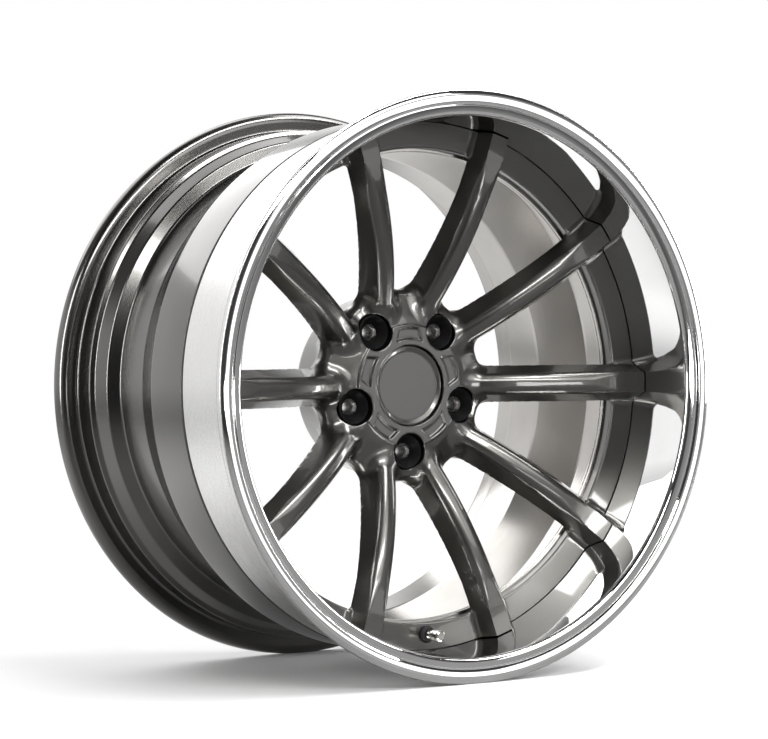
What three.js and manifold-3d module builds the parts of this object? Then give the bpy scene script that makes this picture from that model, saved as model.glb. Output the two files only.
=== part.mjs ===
// Forged three-piece racing wheel rim, 18 x 10.5 inch, five lugs on a 114.3 mm circle.
//
// Frame: millimetres, +Z up, origin on the wheel's axis midway between the two tyre flanges.
// The wheel's axis is Y. The outboard face looks toward -Y and the hub pad faces +Y.
// Angles are measured in the XZ plane from +X toward +Z.

import * as THREE from 'three';
import { mergeVertices } from 'three/addons/utils/BufferGeometryUtils.js';
import Module from 'manifold-3d';

const wasm = await Module();
wasm.setup();

// ---------------------------------------------------------------- driving dimensions

const INCH = 25.4;
const RIM_WIDTH = 10.5 * INCH;          // between the two bead faces
const BEAD_SEAT_R = 231;                // 18 inch bead seat at the flange
const FLANGE_HEIGHT = 17.3;             // J contour
const FLANGE_CURVE_R = 9.05;            // J contour, back of the flange
const BEAD_FACE = RIM_WIDTH / 2;
const FLANGE_R = BEAD_SEAT_R + FLANGE_HEIGHT;
const FLANGE_PLANE = BEAD_FACE + FLANGE_CURVE_R;
const FLANGE_CROWN = 4.4;
const FLANGE_FACE = FLANGE_PLANE + FLANGE_CROWN;
const CROWN_INSET = 3.5;                // flat crown of the flange, in from its edge
const STEP_INSET = 13;                  // where the crown falls away to the lip
const STEP_DROP = 1.4;
const EDGE_INSET = 0.9;
const EDGE_DROP = 1.6;
const LIP_CORNER_R = 6;                 // round corner from the flange into the lip
const LIP_CORNER_INSET = 0.3;
const LIP_CORNER_Y = BEAD_FACE + 2.2;
const LIP_END = BEAD_FACE - 4;

const FIT_GAP = 0.3;                    // clearance where one piece rests on another
const LATHE_SEGMENTS = 52;
const HOLE_SEGMENTS = 8;

const SPOKES = 10;
const LUGS = 5;
const LUG_PITCH = 2 * Math.PI / LUGS;
const LUG_START = -Math.PI / 2;
const LUG_CIRCLE_R = 114.3 / 2;
const BOLTS = 30;

// Barrel, shared by both rim halves.
const LIP_BORE_R = 226.9;
const BARREL_R = 230.4;
const WALL = BARREL_R - LIP_BORE_R;
const HUMP_OFFSET = 21;                 // from the bead face to the hump's crest
const HUMP_R = 230.9;
const BEAD_SEAT_INNER_R = 229.5;
const FLANGE_BORE_R = 201.5;            // inner edge of the mounting flanges
const FLANGE_THICKNESS = 3.5;
const HUMP_HALF_WIDTH = 4;
const JOINT_CHAMFER = 1.8;              // groove for the sealant where the halves meet
const SEALANT_DEPTH = 1.3;
const SEALANT_HALF_WIDTH = 1.2;
const SEALANT_PROUD = 0.1;

// Inner half only: the barrel steps down to a drop centre behind the ledge.
const FLANGE_ROOT = 4;
const LEDGE_END = 1;
const WELL_R = 210;
const WELL_FRONT = 52;
const WELL_REAR = 92.5;
const SHELF_R = 221;
const SHELF_Y = 97;
const SHELF_END = BEAD_FACE - HUMP_OFFSET - 3;
const HUMP_ROOT_DROP = 4.4;
const WALL_LEAN = 1;                    // keeps the wall's thickness round the steps

// Wheel centre.
const WEB_FRONT = -65.8;
const WEB_THICKNESS = 10;
const WEB_REAR = WEB_FRONT + WEB_THICKNESS;
const WEB_OUTER_R = LIP_BORE_R - 0.4;
const WEB_INNER_R = 203.7;
const WEB_CHAMFER = 1.2;
const HUB_FACE = -43.8;
const HUB_FACE_R = 53.2;
const HUB_RIM_R = 84.5;
const HUB_RIM_FRONT = -33;
const HUB_RIM_ROUND = 2.5;
const HUB_RIM_SIDE = 9;
const HUB_STEP = 1.5;
const HUB_STEP_RUN = 1.8;
const PAD_FACE = 17;
const PAD_R = 77.7;
const CENTRE_BORE_R = 34.2;
const CAP_SEAT_R = 35.4;
const CAP_SEAT_DEPTH = 6.1;

const SPOKE_ROOT_R = 50;
const SPOKE_TIP_R = WEB_OUTER_R;
const RIDGE_TIP = -83.5;
const RIDGE_DROP = 47.3;                // how much deeper the ridge is at the hub
const RIDGE_DROP_R = 60;                // radius where that drop is reached
const RIDGE_POWER = 2.33;
const FLAT_HALF_WIDTH = 4.2;
const RIDGE_HALF_WIDTH = 7;
const TIP_HALF_WIDTH = 8.5;
const SHOULDER_DROP = 2.6;
const TIP_CHAMFER = 0.5;
const BASE_HALF_WIDTH = 16.2;
const BACK_HALF_WIDTH = 11;
const BACK_DEPTH = 6;
const SPOKE_DEPTH_HUB = 27;
const SPOKE_DEPTH_RIM = 17;
const SPOKE_DEPTH_START = 75;
const FACET_LENGTH = 100;               // the flat top facet widens over this length
const TIP_OVERRUN = 3;                  // trimmed off by the centre's outside diameter
const SPOKE_STATIONS = [SPOKE_ROOT_R, 62, 75, 90, 108, 128, 150, 175, 200, SPOKE_TIP_R + TIP_OVERRUN];

const LUG_BORE_R = 15.8;
const LUG_BORE_FRONT = -52;
const STUD_HOLE_R = 8.3;
const SEAT_TOP = -38;
const SEAT_BOTTOM = -24;
const SEAT_TAIL_R = 12;
const SEAT_TAIL_END = -6;
const SEAT_MOUTH_R = 11.6;
const SEAT_BORE_R = 7.2;
const SEAT_HALF_ANGLE = Math.PI / 6;    // 60 degree lug nut seat

const POCKET_INNER_R = 40.2;
const POCKET_OUTER_R = 50.6;
const POCKET_INNER_HALF = 13.2;
const POCKET_OUTER_HALF = 10;
const POCKET_DEPTH = 2;

// Assembly bolts, M8 with a twelve-point head, put in from behind.
const BOLT_CIRCLE_R = 214.5;
const BOLT_R = 4;
const BOLT_HEAD_R = 6.6;
const BOLT_HEAD = 8;
const BOLT_GRIP = 15.4;                 // shank length under the head
const BOLT_HOLE_R = 4.7;
const THREAD_CLEARANCE = 1.5;           // blind hole below the bolt's end

// Valve, at the bottom of the wheel between two spokes.
const VALVE_ANGLE = -Math.PI / 2;
const VALVE_R = 213.5;                  // radius of the forward-pointing leg
const VALVE_BASE_Y = -30;
const VALVE_TUBE_R = 3;
const VALVE_THREAD_R = 3.8;
const VALVE_BEND_R = 8;
const VALVE_THREAD_START = -70.5;
const VALVE_TIP = -83;
const VALVE_NECK_START = LIP_BORE_R - 7.5;
const VALVE_NECK_OVERLAP = 0.5;
const VALVE_HEAD_R = 9.5;
const VALVE_HEAD = 2.4;
const VALVE_SEAL = 1.8;
const VALVE_NUT = 4;
const VALVE_NUT_R = 8;
const VALVE_NUT_GAP = 0.6;
const VALVE_BARREL_HOLE_R = 4.6;
const GROMMET_HOLE_R = 6.6;
const GROMMET_COLLAR_R = 7.8;
const GROMMET_COLLAR = 3.2;
const CORE_BORE_R = 2.5;
const CORE_BORE_END = -60;
const CORE_R = 2.15;
const CORE_START = -81.8;
const CORE_END = -66;
const CORE_HOLE_R = 1;
const PIN_R = 0.65;
const PIN_TIP = -82.8;
const PIN_END = -64.4;
const VALVE_CAP_R = 5.2;
const VALVE_CAP_BORE_R = 4.15;
const VALVE_CAP_MOUTH = -78;
const VALVE_CAP_END = -88;
const VALVE_CAP_WALL = 1.3;
const GASKET_THICKNESS = 1.2;

// Centre cap, pushed into the bore from the front and held by a sprung ring.
const CAP_FACE = -41.6;
const CAP_DISC = -39.6;
const CAP_DISC_R = 30.2;
const CAP_RIM_R = 35.05;
const CAP_BEVEL = 0.8;
const CAP_SKIRT_R = CENTRE_BORE_R - 0.35;
const CAP_SKIRT_END = -24;
const CAP_WALL = 3;
const RING_Y = -31.5;
const RING_WIRE_R = 1.3;
const RING_R = CAP_SKIRT_R - RING_WIRE_R;
const RING_GROOVE = 1.6;

const PAST_FACE = 1;                    // how far a cutting tool runs past the face it cuts
const INSERT_FIT = 0.5;
const PIPE_SEGMENTS = 16;

// ---------------------------------------------------------------- materials

function finish(name, color, roughness, metalness) {
  const material = new THREE.MeshStandardMaterial({ color, roughness, metalness });
  material.name = name;
  return material;
}

const gunmetal = finish('gunmetal_clearcoat', 0x54524e, 0.28, 0.9);
const polished = finish('polished_aluminium', 0xe6e5e3, 0.06, 1);
const smoked = finish('smoked_aluminium', 0x6e6c68, 0.25, 1);
const blackSteel = finish('black_oxide_steel', 0x141414, 0.45, 0.7);
const plated = finish('zinc_plated_steel', 0xb9b8b2, 0.3, 1);
const rubber = finish('black_rubber', 0x0d0d0d, 0.85, 0);
const silicone = finish('grey_sealant', 0x23232a, 0.6, 0);
const nickel = finish('nickel_plated_brass', 0xd3d0c8, 0.2, 1);
const brass = finish('brass', 0xb08d4a, 0.35, 1);

// ---------------------------------------------------------------- shape helpers

function fromManifold(solid) {
  const mesh = solid.getMesh();
  const geometry = new THREE.BufferGeometry();
  geometry.setAttribute('position', new THREE.BufferAttribute(mesh.vertProperties, 3));
  geometry.setIndex(new THREE.BufferAttribute(mesh.triVerts, 1));
  return geometry;
}

function toManifold(geometry) {
  const bare = new THREE.BufferGeometry();
  bare.setAttribute('position', geometry.getAttribute('position').clone());
  if (geometry.index) bare.setIndex(geometry.index.clone());
  const merged = mergeVertices(bare);
  return new wasm.Manifold(new wasm.Mesh({
    numProp: 3,
    vertProperties: new Float32Array(merged.getAttribute('position').array),
    triVerts: new Uint32Array(merged.index.array),
  }));
}

function union(solids) {
  return solids.reduce((sum, solid) => sum.add(solid));
}

function cut(body, tools) {
  return tools.reduce((rest, tool) => rest.subtract(tool), body);
}

// A solid of revolution about Y, a flat facet lowermost. The outline is a closed list of
// [radius, y] pairs, given in either direction, and its first point isn't repeated.
function turned(outline, segments = LATHE_SEGMENTS) {
  const points = outline.map(([r, y]) => new THREE.Vector2(r, y));
  if (THREE.ShapeUtils.area(points) < 0) points.reverse();
  points.push(points[0].clone());
  return new THREE.LatheGeometry(points, segments).rotateY(Math.PI / segments);
}

// A quarter-turn arc of the outline, both ends included. Angles in degrees, from the
// radial direction toward +Y.
function arc(centreR, centreY, radius, fromDegrees, toDegrees, steps) {
  const points = [];
  for (let i = 0; i <= steps; i += 1) {
    const angle = THREE.MathUtils.degToRad(fromDegrees + (toDegrees - fromDegrees) * i / steps);
    points.push([centreR + radius * Math.cos(angle), centreY + radius * Math.sin(angle)]);
  }
  return points;
}

// A round bar along Y between two planes.
function bar(radius, fromY, toY, segments = HOLE_SEGMENTS) {
  const geometry = new THREE.CylinderGeometry(radius, radius, Math.abs(toY - fromY), segments);
  return geometry.rotateY(Math.PI / segments).translate(0, (fromY + toY) / 2, 0);
}

function polar(radius, angle) {
  return [radius * Math.cos(angle), radius * Math.sin(angle)];
}

function movedTo(geometry, radius, angle) {
  const [x, z] = polar(radius, angle);
  return geometry.translate(x, 0, z);
}

function anglesOf(count, start = 0) {
  return Array.from({ length: count }, (_, i) => start + i * 2 * Math.PI / count);
}

// Skin over equal-length rings of points, closed by a fan at either end.
function loft(rings) {
  const size = rings[0].length;
  const positions = rings.flat(2);
  const indices = [];
  for (let i = 0; i < rings.length - 1; i += 1) {
    for (let j = 0; j < size; j += 1) {
      const a = i * size + j;
      const b = i * size + (j + 1) % size;
      indices.push(a, b, b + size, a, b + size, a + size);
    }
  }
  const last = (rings.length - 1) * size;
  for (let j = 1; j < size - 1; j += 1) {
    indices.push(0, j + 1, j);
    indices.push(last, last + j, last + j + 1);
  }
  const geometry = new THREE.BufferGeometry();
  geometry.setAttribute('position', new THREE.Float32BufferAttribute(positions, 3));
  geometry.setIndex(indices);
  return geometry;
}

function part(name, geometry, material) {
  const mesh = new THREE.Mesh(geometry, material);
  mesh.name = name;
  return mesh;
}

// ---------------------------------------------------------------- wheel centre

function ridgeY(r) {
  const rise = Math.max(SPOKE_TIP_R - r, 0) / (SPOKE_TIP_R - RIDGE_DROP_R);
  return RIDGE_TIP + RIDGE_DROP * rise ** RIDGE_POWER;
}

// One spoke along +X: a narrow flat ridge with sloped shoulders, drafted flanks and a
// chamfered back. The ridge rises from the hub to the rim and ends in a wider flat facet.
function spoke() {
  const rings = SPOKE_STATIONS.map((r) => {
    const top = ridgeY(r);
    const outward = THREE.MathUtils.clamp((r - SPOKE_DEPTH_START) / FACET_LENGTH, 0, 1);
    const facet = THREE.MathUtils.clamp((r - SPOKE_TIP_R + FACET_LENGTH) / FACET_LENGTH, 0, 1);
    const flat = THREE.MathUtils.lerp(FLAT_HALF_WIDTH, TIP_HALF_WIDTH - TIP_CHAMFER, facet);
    const ridge = THREE.MathUtils.lerp(RIDGE_HALF_WIDTH, TIP_HALF_WIDTH, facet);
    const shoulder = top + THREE.MathUtils.lerp(SHOULDER_DROP, TIP_CHAMFER, facet);
    const base = top + THREE.MathUtils.lerp(SPOKE_DEPTH_HUB, SPOKE_DEPTH_RIM, outward);
    const deepest = r > SPOKE_STATIONS.at(-3) ? WEB_REAR - PAST_FACE : PAD_FACE;
    const back = Math.min(base + BACK_DEPTH, deepest);
    const half = [
      [flat, top],
      [ridge, shoulder],
      [BASE_HALF_WIDTH, base],
      [BACK_HALF_WIDTH, back],
    ];
    const right = half.map(([z, y]) => [r, y, z]);
    const left = half.map(([z, y]) => [r, y, -z]).reverse();
    return [...right, ...left].reverse();
  });
  return loft(rings);
}

function hubSolid() {
  return turned([
    [CENTRE_BORE_R, PAD_FACE],
    [PAD_R, PAD_FACE],
    [HUB_RIM_R - CAP_BEVEL, HUB_RIM_FRONT + HUB_RIM_SIDE],
    [HUB_RIM_R, HUB_RIM_FRONT + HUB_RIM_ROUND],
    [HUB_RIM_R - HUB_RIM_ROUND, HUB_RIM_FRONT],
    [HUB_FACE_R + HUB_STEP_RUN, HUB_FACE + HUB_STEP],
    [HUB_FACE_R, HUB_FACE],
    [CAP_SEAT_R, HUB_FACE],
    [CAP_SEAT_R, HUB_FACE + CAP_SEAT_DEPTH],
    [CENTRE_BORE_R, HUB_FACE + CAP_SEAT_DEPTH],
  ]);
}

function webRing() {
  return turned([
    [WEB_INNER_R, WEB_REAR],
    [WEB_OUTER_R, WEB_REAR],
    [WEB_OUTER_R, WEB_FRONT],
    [WEB_INNER_R + WEB_CHAMFER, WEB_FRONT],
    [WEB_INNER_R, WEB_FRONT + WEB_CHAMFER],
  ]);
}

function hubPocket() {
  const shape = new THREE.Shape();
  const innerSpan = Math.asin(POCKET_INNER_HALF / POCKET_INNER_R);
  const outerSpan = Math.asin(POCKET_OUTER_HALF / POCKET_OUTER_R);
  shape.absarc(0, 0, POCKET_OUTER_R, -outerSpan, outerSpan, false);
  shape.absarc(0, 0, POCKET_INNER_R, innerSpan, -innerSpan, true);
  shape.closePath();
  const depth = POCKET_DEPTH + PAST_FACE;
  const options = { depth, bevelEnabled: false, curveSegments: 6 };
  const geometry = new THREE.ExtrudeGeometry(shape, options);
  geometry.rotateX(Math.PI / 2);
  return geometry.translate(0, HUB_FACE + POCKET_DEPTH, 0);
}

function lugBore() {
  return turned([
    [0, LUG_BORE_FRONT],
    [LUG_BORE_R, LUG_BORE_FRONT],
    [LUG_BORE_R, SEAT_BOTTOM + FIT_GAP],
    [SEAT_TAIL_R + FIT_GAP, SEAT_BOTTOM + FIT_GAP],
    [SEAT_TAIL_R + FIT_GAP, SEAT_TAIL_END + FIT_GAP],
    [STUD_HOLE_R, SEAT_TAIL_END + FIT_GAP],
    [STUD_HOLE_R, PAD_FACE + PAST_FACE],
    [0, PAD_FACE + PAST_FACE],
  ], PIPE_SEGMENTS);
}

function wheelCentre() {
  const spokeSolids = anglesOf(SPOKES).map((angle) => toManifold(spoke().rotateY(-angle)));
  const inFront = HUB_FACE - PAST_FACE;
  const behind = PAD_FACE + PAST_FACE;
  const capSeatEnd = HUB_FACE + CAP_SEAT_DEPTH;
  const envelope = toManifold(bar(WEB_OUTER_R, 2 * RIDGE_TIP, behind, LATHE_SEGMENTS));
  const body = union([toManifold(hubSolid()), toManifold(webRing()), ...spokeSolids]);
  const bore = toManifold(bar(CENTRE_BORE_R, inFront, behind, LATHE_SEGMENTS));
  const capSeat = toManifold(bar(CAP_SEAT_R, inFront, capSeatEnd, LATHE_SEGMENTS));
  const lugBores = anglesOf(LUGS, LUG_START)
    .map((angle) => toManifold(movedTo(lugBore(), LUG_CIRCLE_R, angle)));
  const pockets = anglesOf(LUGS, LUG_START + LUG_PITCH / 2)
    .map((angle) => toManifold(hubPocket().rotateY(-angle)));
  const holeDepth = boltHeadSeat() - BOLT_GRIP - THREAD_CLEARANCE;
  const boltHoles = anglesOf(BOLTS).map((angle) => {
    const hole = bar(BOLT_HOLE_R, WEB_REAR + PAST_FACE, holeDepth);
    return toManifold(movedTo(hole, BOLT_CIRCLE_R, angle));
  });
  const valveBar = bar(GROMMET_HOLE_R, WEB_REAR + PAST_FACE, WEB_FRONT - PAST_FACE, PIPE_SEGMENTS);
  const valveHole = toManifold(movedTo(valveBar, VALVE_R, VALVE_ANGLE));
  const tools = [bore, capSeat, ...lugBores, ...pockets, ...boltHoles, valveHole];
  return fromManifold(cut(body.intersect(envelope), tools));
}

// ---------------------------------------------------------------- rim halves

function outerFlangeFront() {
  return WEB_REAR + FIT_GAP;
}

function innerFlangeFront() {
  return outerFlangeFront() + FLANGE_THICKNESS + FIT_GAP;
}

function boltHeadSeat() {
  return innerFlangeFront() + FLANGE_THICKNESS + FIT_GAP;
}

// Tyre flange and bead seat of the rear edge, from the inner barrel round to the hump.
// The front edge is the same outline mirrored in Y.
function flangeOutline() {
  const lipCorner = LIP_BORE_R - LIP_CORNER_INSET + LIP_CORNER_R;
  return [
    [LIP_BORE_R - LIP_CORNER_INSET, LIP_END],
    ...arc(lipCorner, LIP_CORNER_Y, LIP_CORNER_R, 180, 110, 2),
    [FLANGE_R - STEP_INSET, FLANGE_FACE - STEP_DROP],
    [FLANGE_R - CROWN_INSET, FLANGE_FACE],
    [FLANGE_R - EDGE_INSET, FLANGE_FACE - EDGE_DROP],
    ...arc(FLANGE_R - FLANGE_CURVE_R, FLANGE_PLANE, FLANGE_CURVE_R, 0, -90, 4),
    [BEAD_SEAT_R, BEAD_FACE],
    [BEAD_SEAT_INNER_R, BEAD_FACE - HUMP_OFFSET + HUMP_HALF_WIDTH],
    [HUMP_R, BEAD_FACE - HUMP_OFFSET],
  ];
}

function drilledFlange(geometry, fromY, toY) {
  const bolts = anglesOf(BOLTS)
    .map((angle) => toManifold(movedTo(bar(BOLT_HOLE_R, fromY, toY), BOLT_CIRCLE_R, angle)));
  const valveBar = bar(GROMMET_HOLE_R, fromY, toY, PIPE_SEGMENTS);
  const valve = toManifold(movedTo(valveBar, VALVE_R, VALVE_ANGLE));
  return cut(toManifold(geometry), [...bolts, valve]);
}

function outerHalf() {
  const front = outerFlangeFront();
  const rear = front + FLANGE_THICKNESS;
  const edge = flangeOutline().map(([r, y]) => [r, -y]);
  const geometry = turned([
    [FLANGE_BORE_R, front],
    [LIP_BORE_R, front],
    ...edge,
    [BARREL_R, -BEAD_FACE + HUMP_OFFSET + HUMP_HALF_WIDTH],
    [BARREL_R, rear - JOINT_CHAMFER],
    [BARREL_R - JOINT_CHAMFER, rear],
    [FLANGE_BORE_R, rear],
  ]);
  return fromManifold(drilledFlange(geometry, front - PAST_FACE, rear + PAST_FACE));
}

function innerHalf() {
  const front = innerFlangeFront();
  const rear = front + FLANGE_THICKNESS;
  const geometry = turned([
    [FLANGE_BORE_R, front],
    [FLANGE_BORE_R, rear],
    [LIP_BORE_R - FLANGE_ROOT, rear],
    [LIP_BORE_R, rear + FLANGE_ROOT],
    [LIP_BORE_R, LEDGE_END - WALL_LEAN],
    [WELL_R - WALL, WELL_FRONT - WALL_LEAN],
    [WELL_R - WALL, WELL_REAR + WALL_LEAN],
    [SHELF_R - WALL, SHELF_Y + 2 * WALL_LEAN],
    [HUMP_R - WALL - 2 * WALL_LEAN, SHELF_END + 2 * WALL_LEAN],
    ...flangeOutline(),
    [HUMP_R - HUMP_ROOT_DROP, SHELF_END],
    [SHELF_R, SHELF_Y],
    [WELL_R, WELL_REAR],
    [WELL_R, WELL_FRONT],
    [BARREL_R, LEDGE_END],
    [BARREL_R, front + JOINT_CHAMFER],
    [BARREL_R - JOINT_CHAMFER, front],
  ]);
  const body = drilledFlange(geometry, front - PAST_FACE, rear + PAST_FACE);
  const barrelBar = bar(VALVE_BARREL_HOLE_R, 0, 3 * WALL, PIPE_SEGMENTS);
  const valveHole = standOnBarrel(barrelBar, LIP_BORE_R - WALL);
  return fromManifold(body.subtract(toManifold(valveHole)));
}

function rimSeal() {
  const middle = innerFlangeFront() - FIT_GAP / 2;
  return turned([
    [BARREL_R - SEALANT_DEPTH, middle],
    [BARREL_R + SEALANT_PROUD, middle + SEALANT_HALF_WIDTH],
    [BARREL_R + SEALANT_PROUD, middle - SEALANT_HALF_WIDTH],
  ]);
}

function assemblyBolt(angle) {
  const seat = boltHeadSeat();
  const geometry = turned([
    [0, seat - BOLT_GRIP],
    [BOLT_R, seat - BOLT_GRIP],
    [BOLT_R, seat],
    [BOLT_HEAD_R, seat],
    [BOLT_HEAD_R, seat + BOLT_HEAD],
    [0, seat + BOLT_HEAD],
  ], HOLE_SEGMENTS);
  return movedTo(geometry, BOLT_CIRCLE_R, angle);
}

// ---------------------------------------------------------------- hub pieces

function lugSeatInsert(angle) {
  const coneDepth = (SEAT_MOUTH_R - SEAT_BORE_R) / Math.tan(SEAT_HALF_ANGLE);
  const geometry = turned([
    [SEAT_MOUTH_R, SEAT_TOP],
    [LUG_BORE_R - INSERT_FIT, SEAT_TOP],
    [LUG_BORE_R - INSERT_FIT, SEAT_BOTTOM],
    [SEAT_TAIL_R, SEAT_BOTTOM],
    [SEAT_TAIL_R, SEAT_TAIL_END],
    [SEAT_BORE_R, SEAT_TAIL_END],
    [SEAT_BORE_R, SEAT_TOP + coneDepth],
  ], PIPE_SEGMENTS);
  return movedTo(geometry, LUG_CIRCLE_R, angle);
}

function capBody() {
  const seat = HUB_FACE + CAP_SEAT_DEPTH - FIT_GAP;
  return turned([
    [0, CAP_DISC + CAP_WALL],
    [0, CAP_DISC],
    [CAP_DISC_R, CAP_DISC],
    [CAP_RIM_R - CAP_BEVEL, CAP_FACE],
    [CAP_RIM_R, CAP_FACE + CAP_BEVEL],
    [CAP_RIM_R, seat],
    [CAP_SKIRT_R, seat],
    [CAP_SKIRT_R, RING_Y - RING_GROOVE],
    [RING_R - RING_GROOVE, RING_Y - RING_GROOVE],
    [RING_R - RING_GROOVE, RING_Y + RING_GROOVE],
    [CAP_SKIRT_R, RING_Y + RING_GROOVE],
    [CAP_SKIRT_R, CAP_SKIRT_END],
    [CAP_SKIRT_R - 2 * CAP_WALL, CAP_SKIRT_END],
    [CAP_SKIRT_R - 2 * CAP_WALL, CAP_DISC + CAP_WALL],
  ], 32);
}

function capRetainingRing() {
  const geometry = new THREE.TorusGeometry(RING_R, RING_WIRE_R, 6, 32);
  return geometry.rotateX(Math.PI / 2).translate(0, RING_Y, 0);
}

// ---------------------------------------------------------------- valve

// Lays a shape built along +Y so that it points out along the valve's radius, its origin
// at the given radius and at the valve's place along the wheel's axis.
function standOnBarrel(geometry, radius) {
  geometry.rotateX(-Math.PI / 2);
  return geometry.translate(0, VALVE_BASE_Y, -radius);
}

function valveStem() {
  const headBase = BARREL_R + 2 * FIT_GAP + VALVE_SEAL;
  const head = standOnBarrel(bar(VALVE_HEAD_R, 0, VALVE_HEAD, 20), headBase);
  const neckBar = bar(VALVE_THREAD_R, 0, headBase - VALVE_NECK_START + VALVE_NECK_OVERLAP, 12);
  const neck = standOnBarrel(neckBar, VALVE_NECK_START);
  const bend = VALVE_R + VALVE_BEND_R;
  const path = new THREE.CurvePath();
  const start = new THREE.Vector3(0, VALVE_BASE_Y, -LIP_BORE_R);
  const bendStart = new THREE.Vector3(0, VALVE_BASE_Y, -bend);
  const corner = new THREE.Vector3(0, VALVE_BASE_Y, -VALVE_R);
  const bendEnd = new THREE.Vector3(0, VALVE_BASE_Y - VALVE_BEND_R, -VALVE_R);
  const end = new THREE.Vector3(0, VALVE_THREAD_START - 2 * PAST_FACE, -VALVE_R);
  path.add(new THREE.LineCurve3(start, bendStart));
  path.add(new THREE.QuadraticBezierCurve3(bendStart, corner, bendEnd));
  path.add(new THREE.LineCurve3(bendEnd, end));
  const section = new THREE.Shape();
  section.absarc(0, 0, VALVE_TUBE_R, 0, 2 * Math.PI, false);
  const tube = new THREE.ExtrudeGeometry(section, { steps: 16, extrudePath: path, curveSegments: 4 });
  const threadBar = bar(VALVE_THREAD_R, VALVE_THREAD_START, VALVE_TIP, PIPE_SEGMENTS);
  const thread = movedTo(threadBar, VALVE_R, VALVE_ANGLE);
  const boreBar = bar(CORE_BORE_R, CORE_BORE_END, VALVE_TIP - PAST_FACE, PIPE_SEGMENTS);
  const bore = movedTo(boreBar, VALVE_R, VALVE_ANGLE);
  return fromManifold(union([head, neck, tube, thread].map(toManifold)).subtract(toManifold(bore)));
}

function valveBaseSeal() {
  const outline = [
    [VALVE_THREAD_R + FIT_GAP, 0],
    [VALVE_HEAD_R - 0.5, 0],
    [VALVE_HEAD_R - 0.5, VALVE_SEAL],
    [VALVE_THREAD_R + FIT_GAP, VALVE_SEAL],
  ];
  return standOnBarrel(turned(outline, 20), BARREL_R + FIT_GAP);
}

function valveNut() {
  const hexagon = toManifold(bar(VALVE_NUT_R, 0, VALVE_NUT, 6));
  const bore = toManifold(bar(VALVE_THREAD_R + FIT_GAP, -PAST_FACE, VALVE_NUT + PAST_FACE, PIPE_SEGMENTS));
  return standOnBarrel(fromManifold(hexagon.subtract(bore)), LIP_BORE_R - VALVE_NUT - VALVE_NUT_GAP);
}

function valveGrommet() {
  const geometry = turned([
    [VALVE_TUBE_R + FIT_GAP, WEB_REAR - INSERT_FIT],
    [GROMMET_HOLE_R - FIT_GAP, WEB_REAR - INSERT_FIT],
    [GROMMET_HOLE_R - FIT_GAP, WEB_FRONT - FIT_GAP],
    [GROMMET_COLLAR_R, WEB_FRONT - FIT_GAP],
    [GROMMET_COLLAR_R - WEB_CHAMFER, WEB_FRONT - GROMMET_COLLAR],
    [VALVE_TUBE_R + FIT_GAP, WEB_FRONT - GROMMET_COLLAR],
  ], PIPE_SEGMENTS);
  return movedTo(geometry, VALVE_R, VALVE_ANGLE);
}

function valveCore() {
  const geometry = turned([
    [CORE_HOLE_R, CORE_START],
    [CORE_R, CORE_START],
    [CORE_R, CORE_END],
    [CORE_HOLE_R, CORE_END],
  ], 12);
  return movedTo(geometry, VALVE_R, VALVE_ANGLE);
}

function valvePin() {
  return movedTo(bar(PIN_R, PIN_TIP, PIN_END, 10), VALVE_R, VALVE_ANGLE);
}

function valveCap() {
  const geometry = turned([
    [0, VALVE_CAP_END],
    [VALVE_CAP_R - CAP_BEVEL, VALVE_CAP_END],
    [VALVE_CAP_R, VALVE_CAP_END + CAP_BEVEL],
    [VALVE_CAP_R, VALVE_CAP_MOUTH],
    [VALVE_CAP_BORE_R, VALVE_CAP_MOUTH],
    [VALVE_CAP_BORE_R, VALVE_CAP_END + VALVE_CAP_WALL],
    [0, VALVE_CAP_END + VALVE_CAP_WALL],
  ], PIPE_SEGMENTS);
  return movedTo(geometry, VALVE_R, VALVE_ANGLE);
}

function valveCapGasket() {
  const from = VALVE_CAP_END + VALVE_CAP_WALL + FIT_GAP;
  const disc = bar(VALVE_CAP_BORE_R - FIT_GAP, from, from + GASKET_THICKNESS, PIPE_SEGMENTS);
  return movedTo(disc, VALVE_R, VALVE_ANGLE);
}

// ---------------------------------------------------------------- the wheel

const wheel = new THREE.Group();

wheel.add(part('wheel_centre', wheelCentre(), gunmetal));
wheel.add(part('outer_half', outerHalf(), polished));
wheel.add(part('inner_half', innerHalf(), smoked));
wheel.add(part('rim_seal', rimSeal(), silicone));

anglesOf(BOLTS).forEach((angle, i) => {
  const number = String(i + 1).padStart(2, '0');
  wheel.add(part(`assembly_bolt_${number}`, assemblyBolt(angle), plated));
});

anglesOf(LUGS, LUG_START).forEach((angle, i) => {
  wheel.add(part(`lug_seat_insert_${i + 1}`, lugSeatInsert(angle), blackSteel));
});

wheel.add(part('centre_cap', capBody(), gunmetal));
wheel.add(part('cap_retaining_ring', capRetainingRing(), rubber));

wheel.add(part('valve_stem', valveStem(), nickel));
wheel.add(part('valve_base_seal', valveBaseSeal(), rubber));
wheel.add(part('valve_nut', valveNut(), nickel));
wheel.add(part('valve_grommet', valveGrommet(), rubber));
wheel.add(part('valve_core', valveCore(), brass));
wheel.add(part('valve_core_pin', valvePin(), brass));
wheel.add(part('valve_cap', valveCap(), nickel));
wheel.add(part('valve_cap_gasket', valveCapGasket(), rubber));

export default wheel;
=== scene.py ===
"""Forged three-piece racing wheel rim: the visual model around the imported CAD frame.

Lengths are millimetres in the outlines and distance functions, and are scaled to metres
when a mesh is made. The camera, floor and lights are in metres, and so is the depth of a
material's relief. The wheel's axis is Y, its styled face looks toward -Y.
"""
import math

import bpy
import numpy as np
from mathutils import Matrix, Vector


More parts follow.
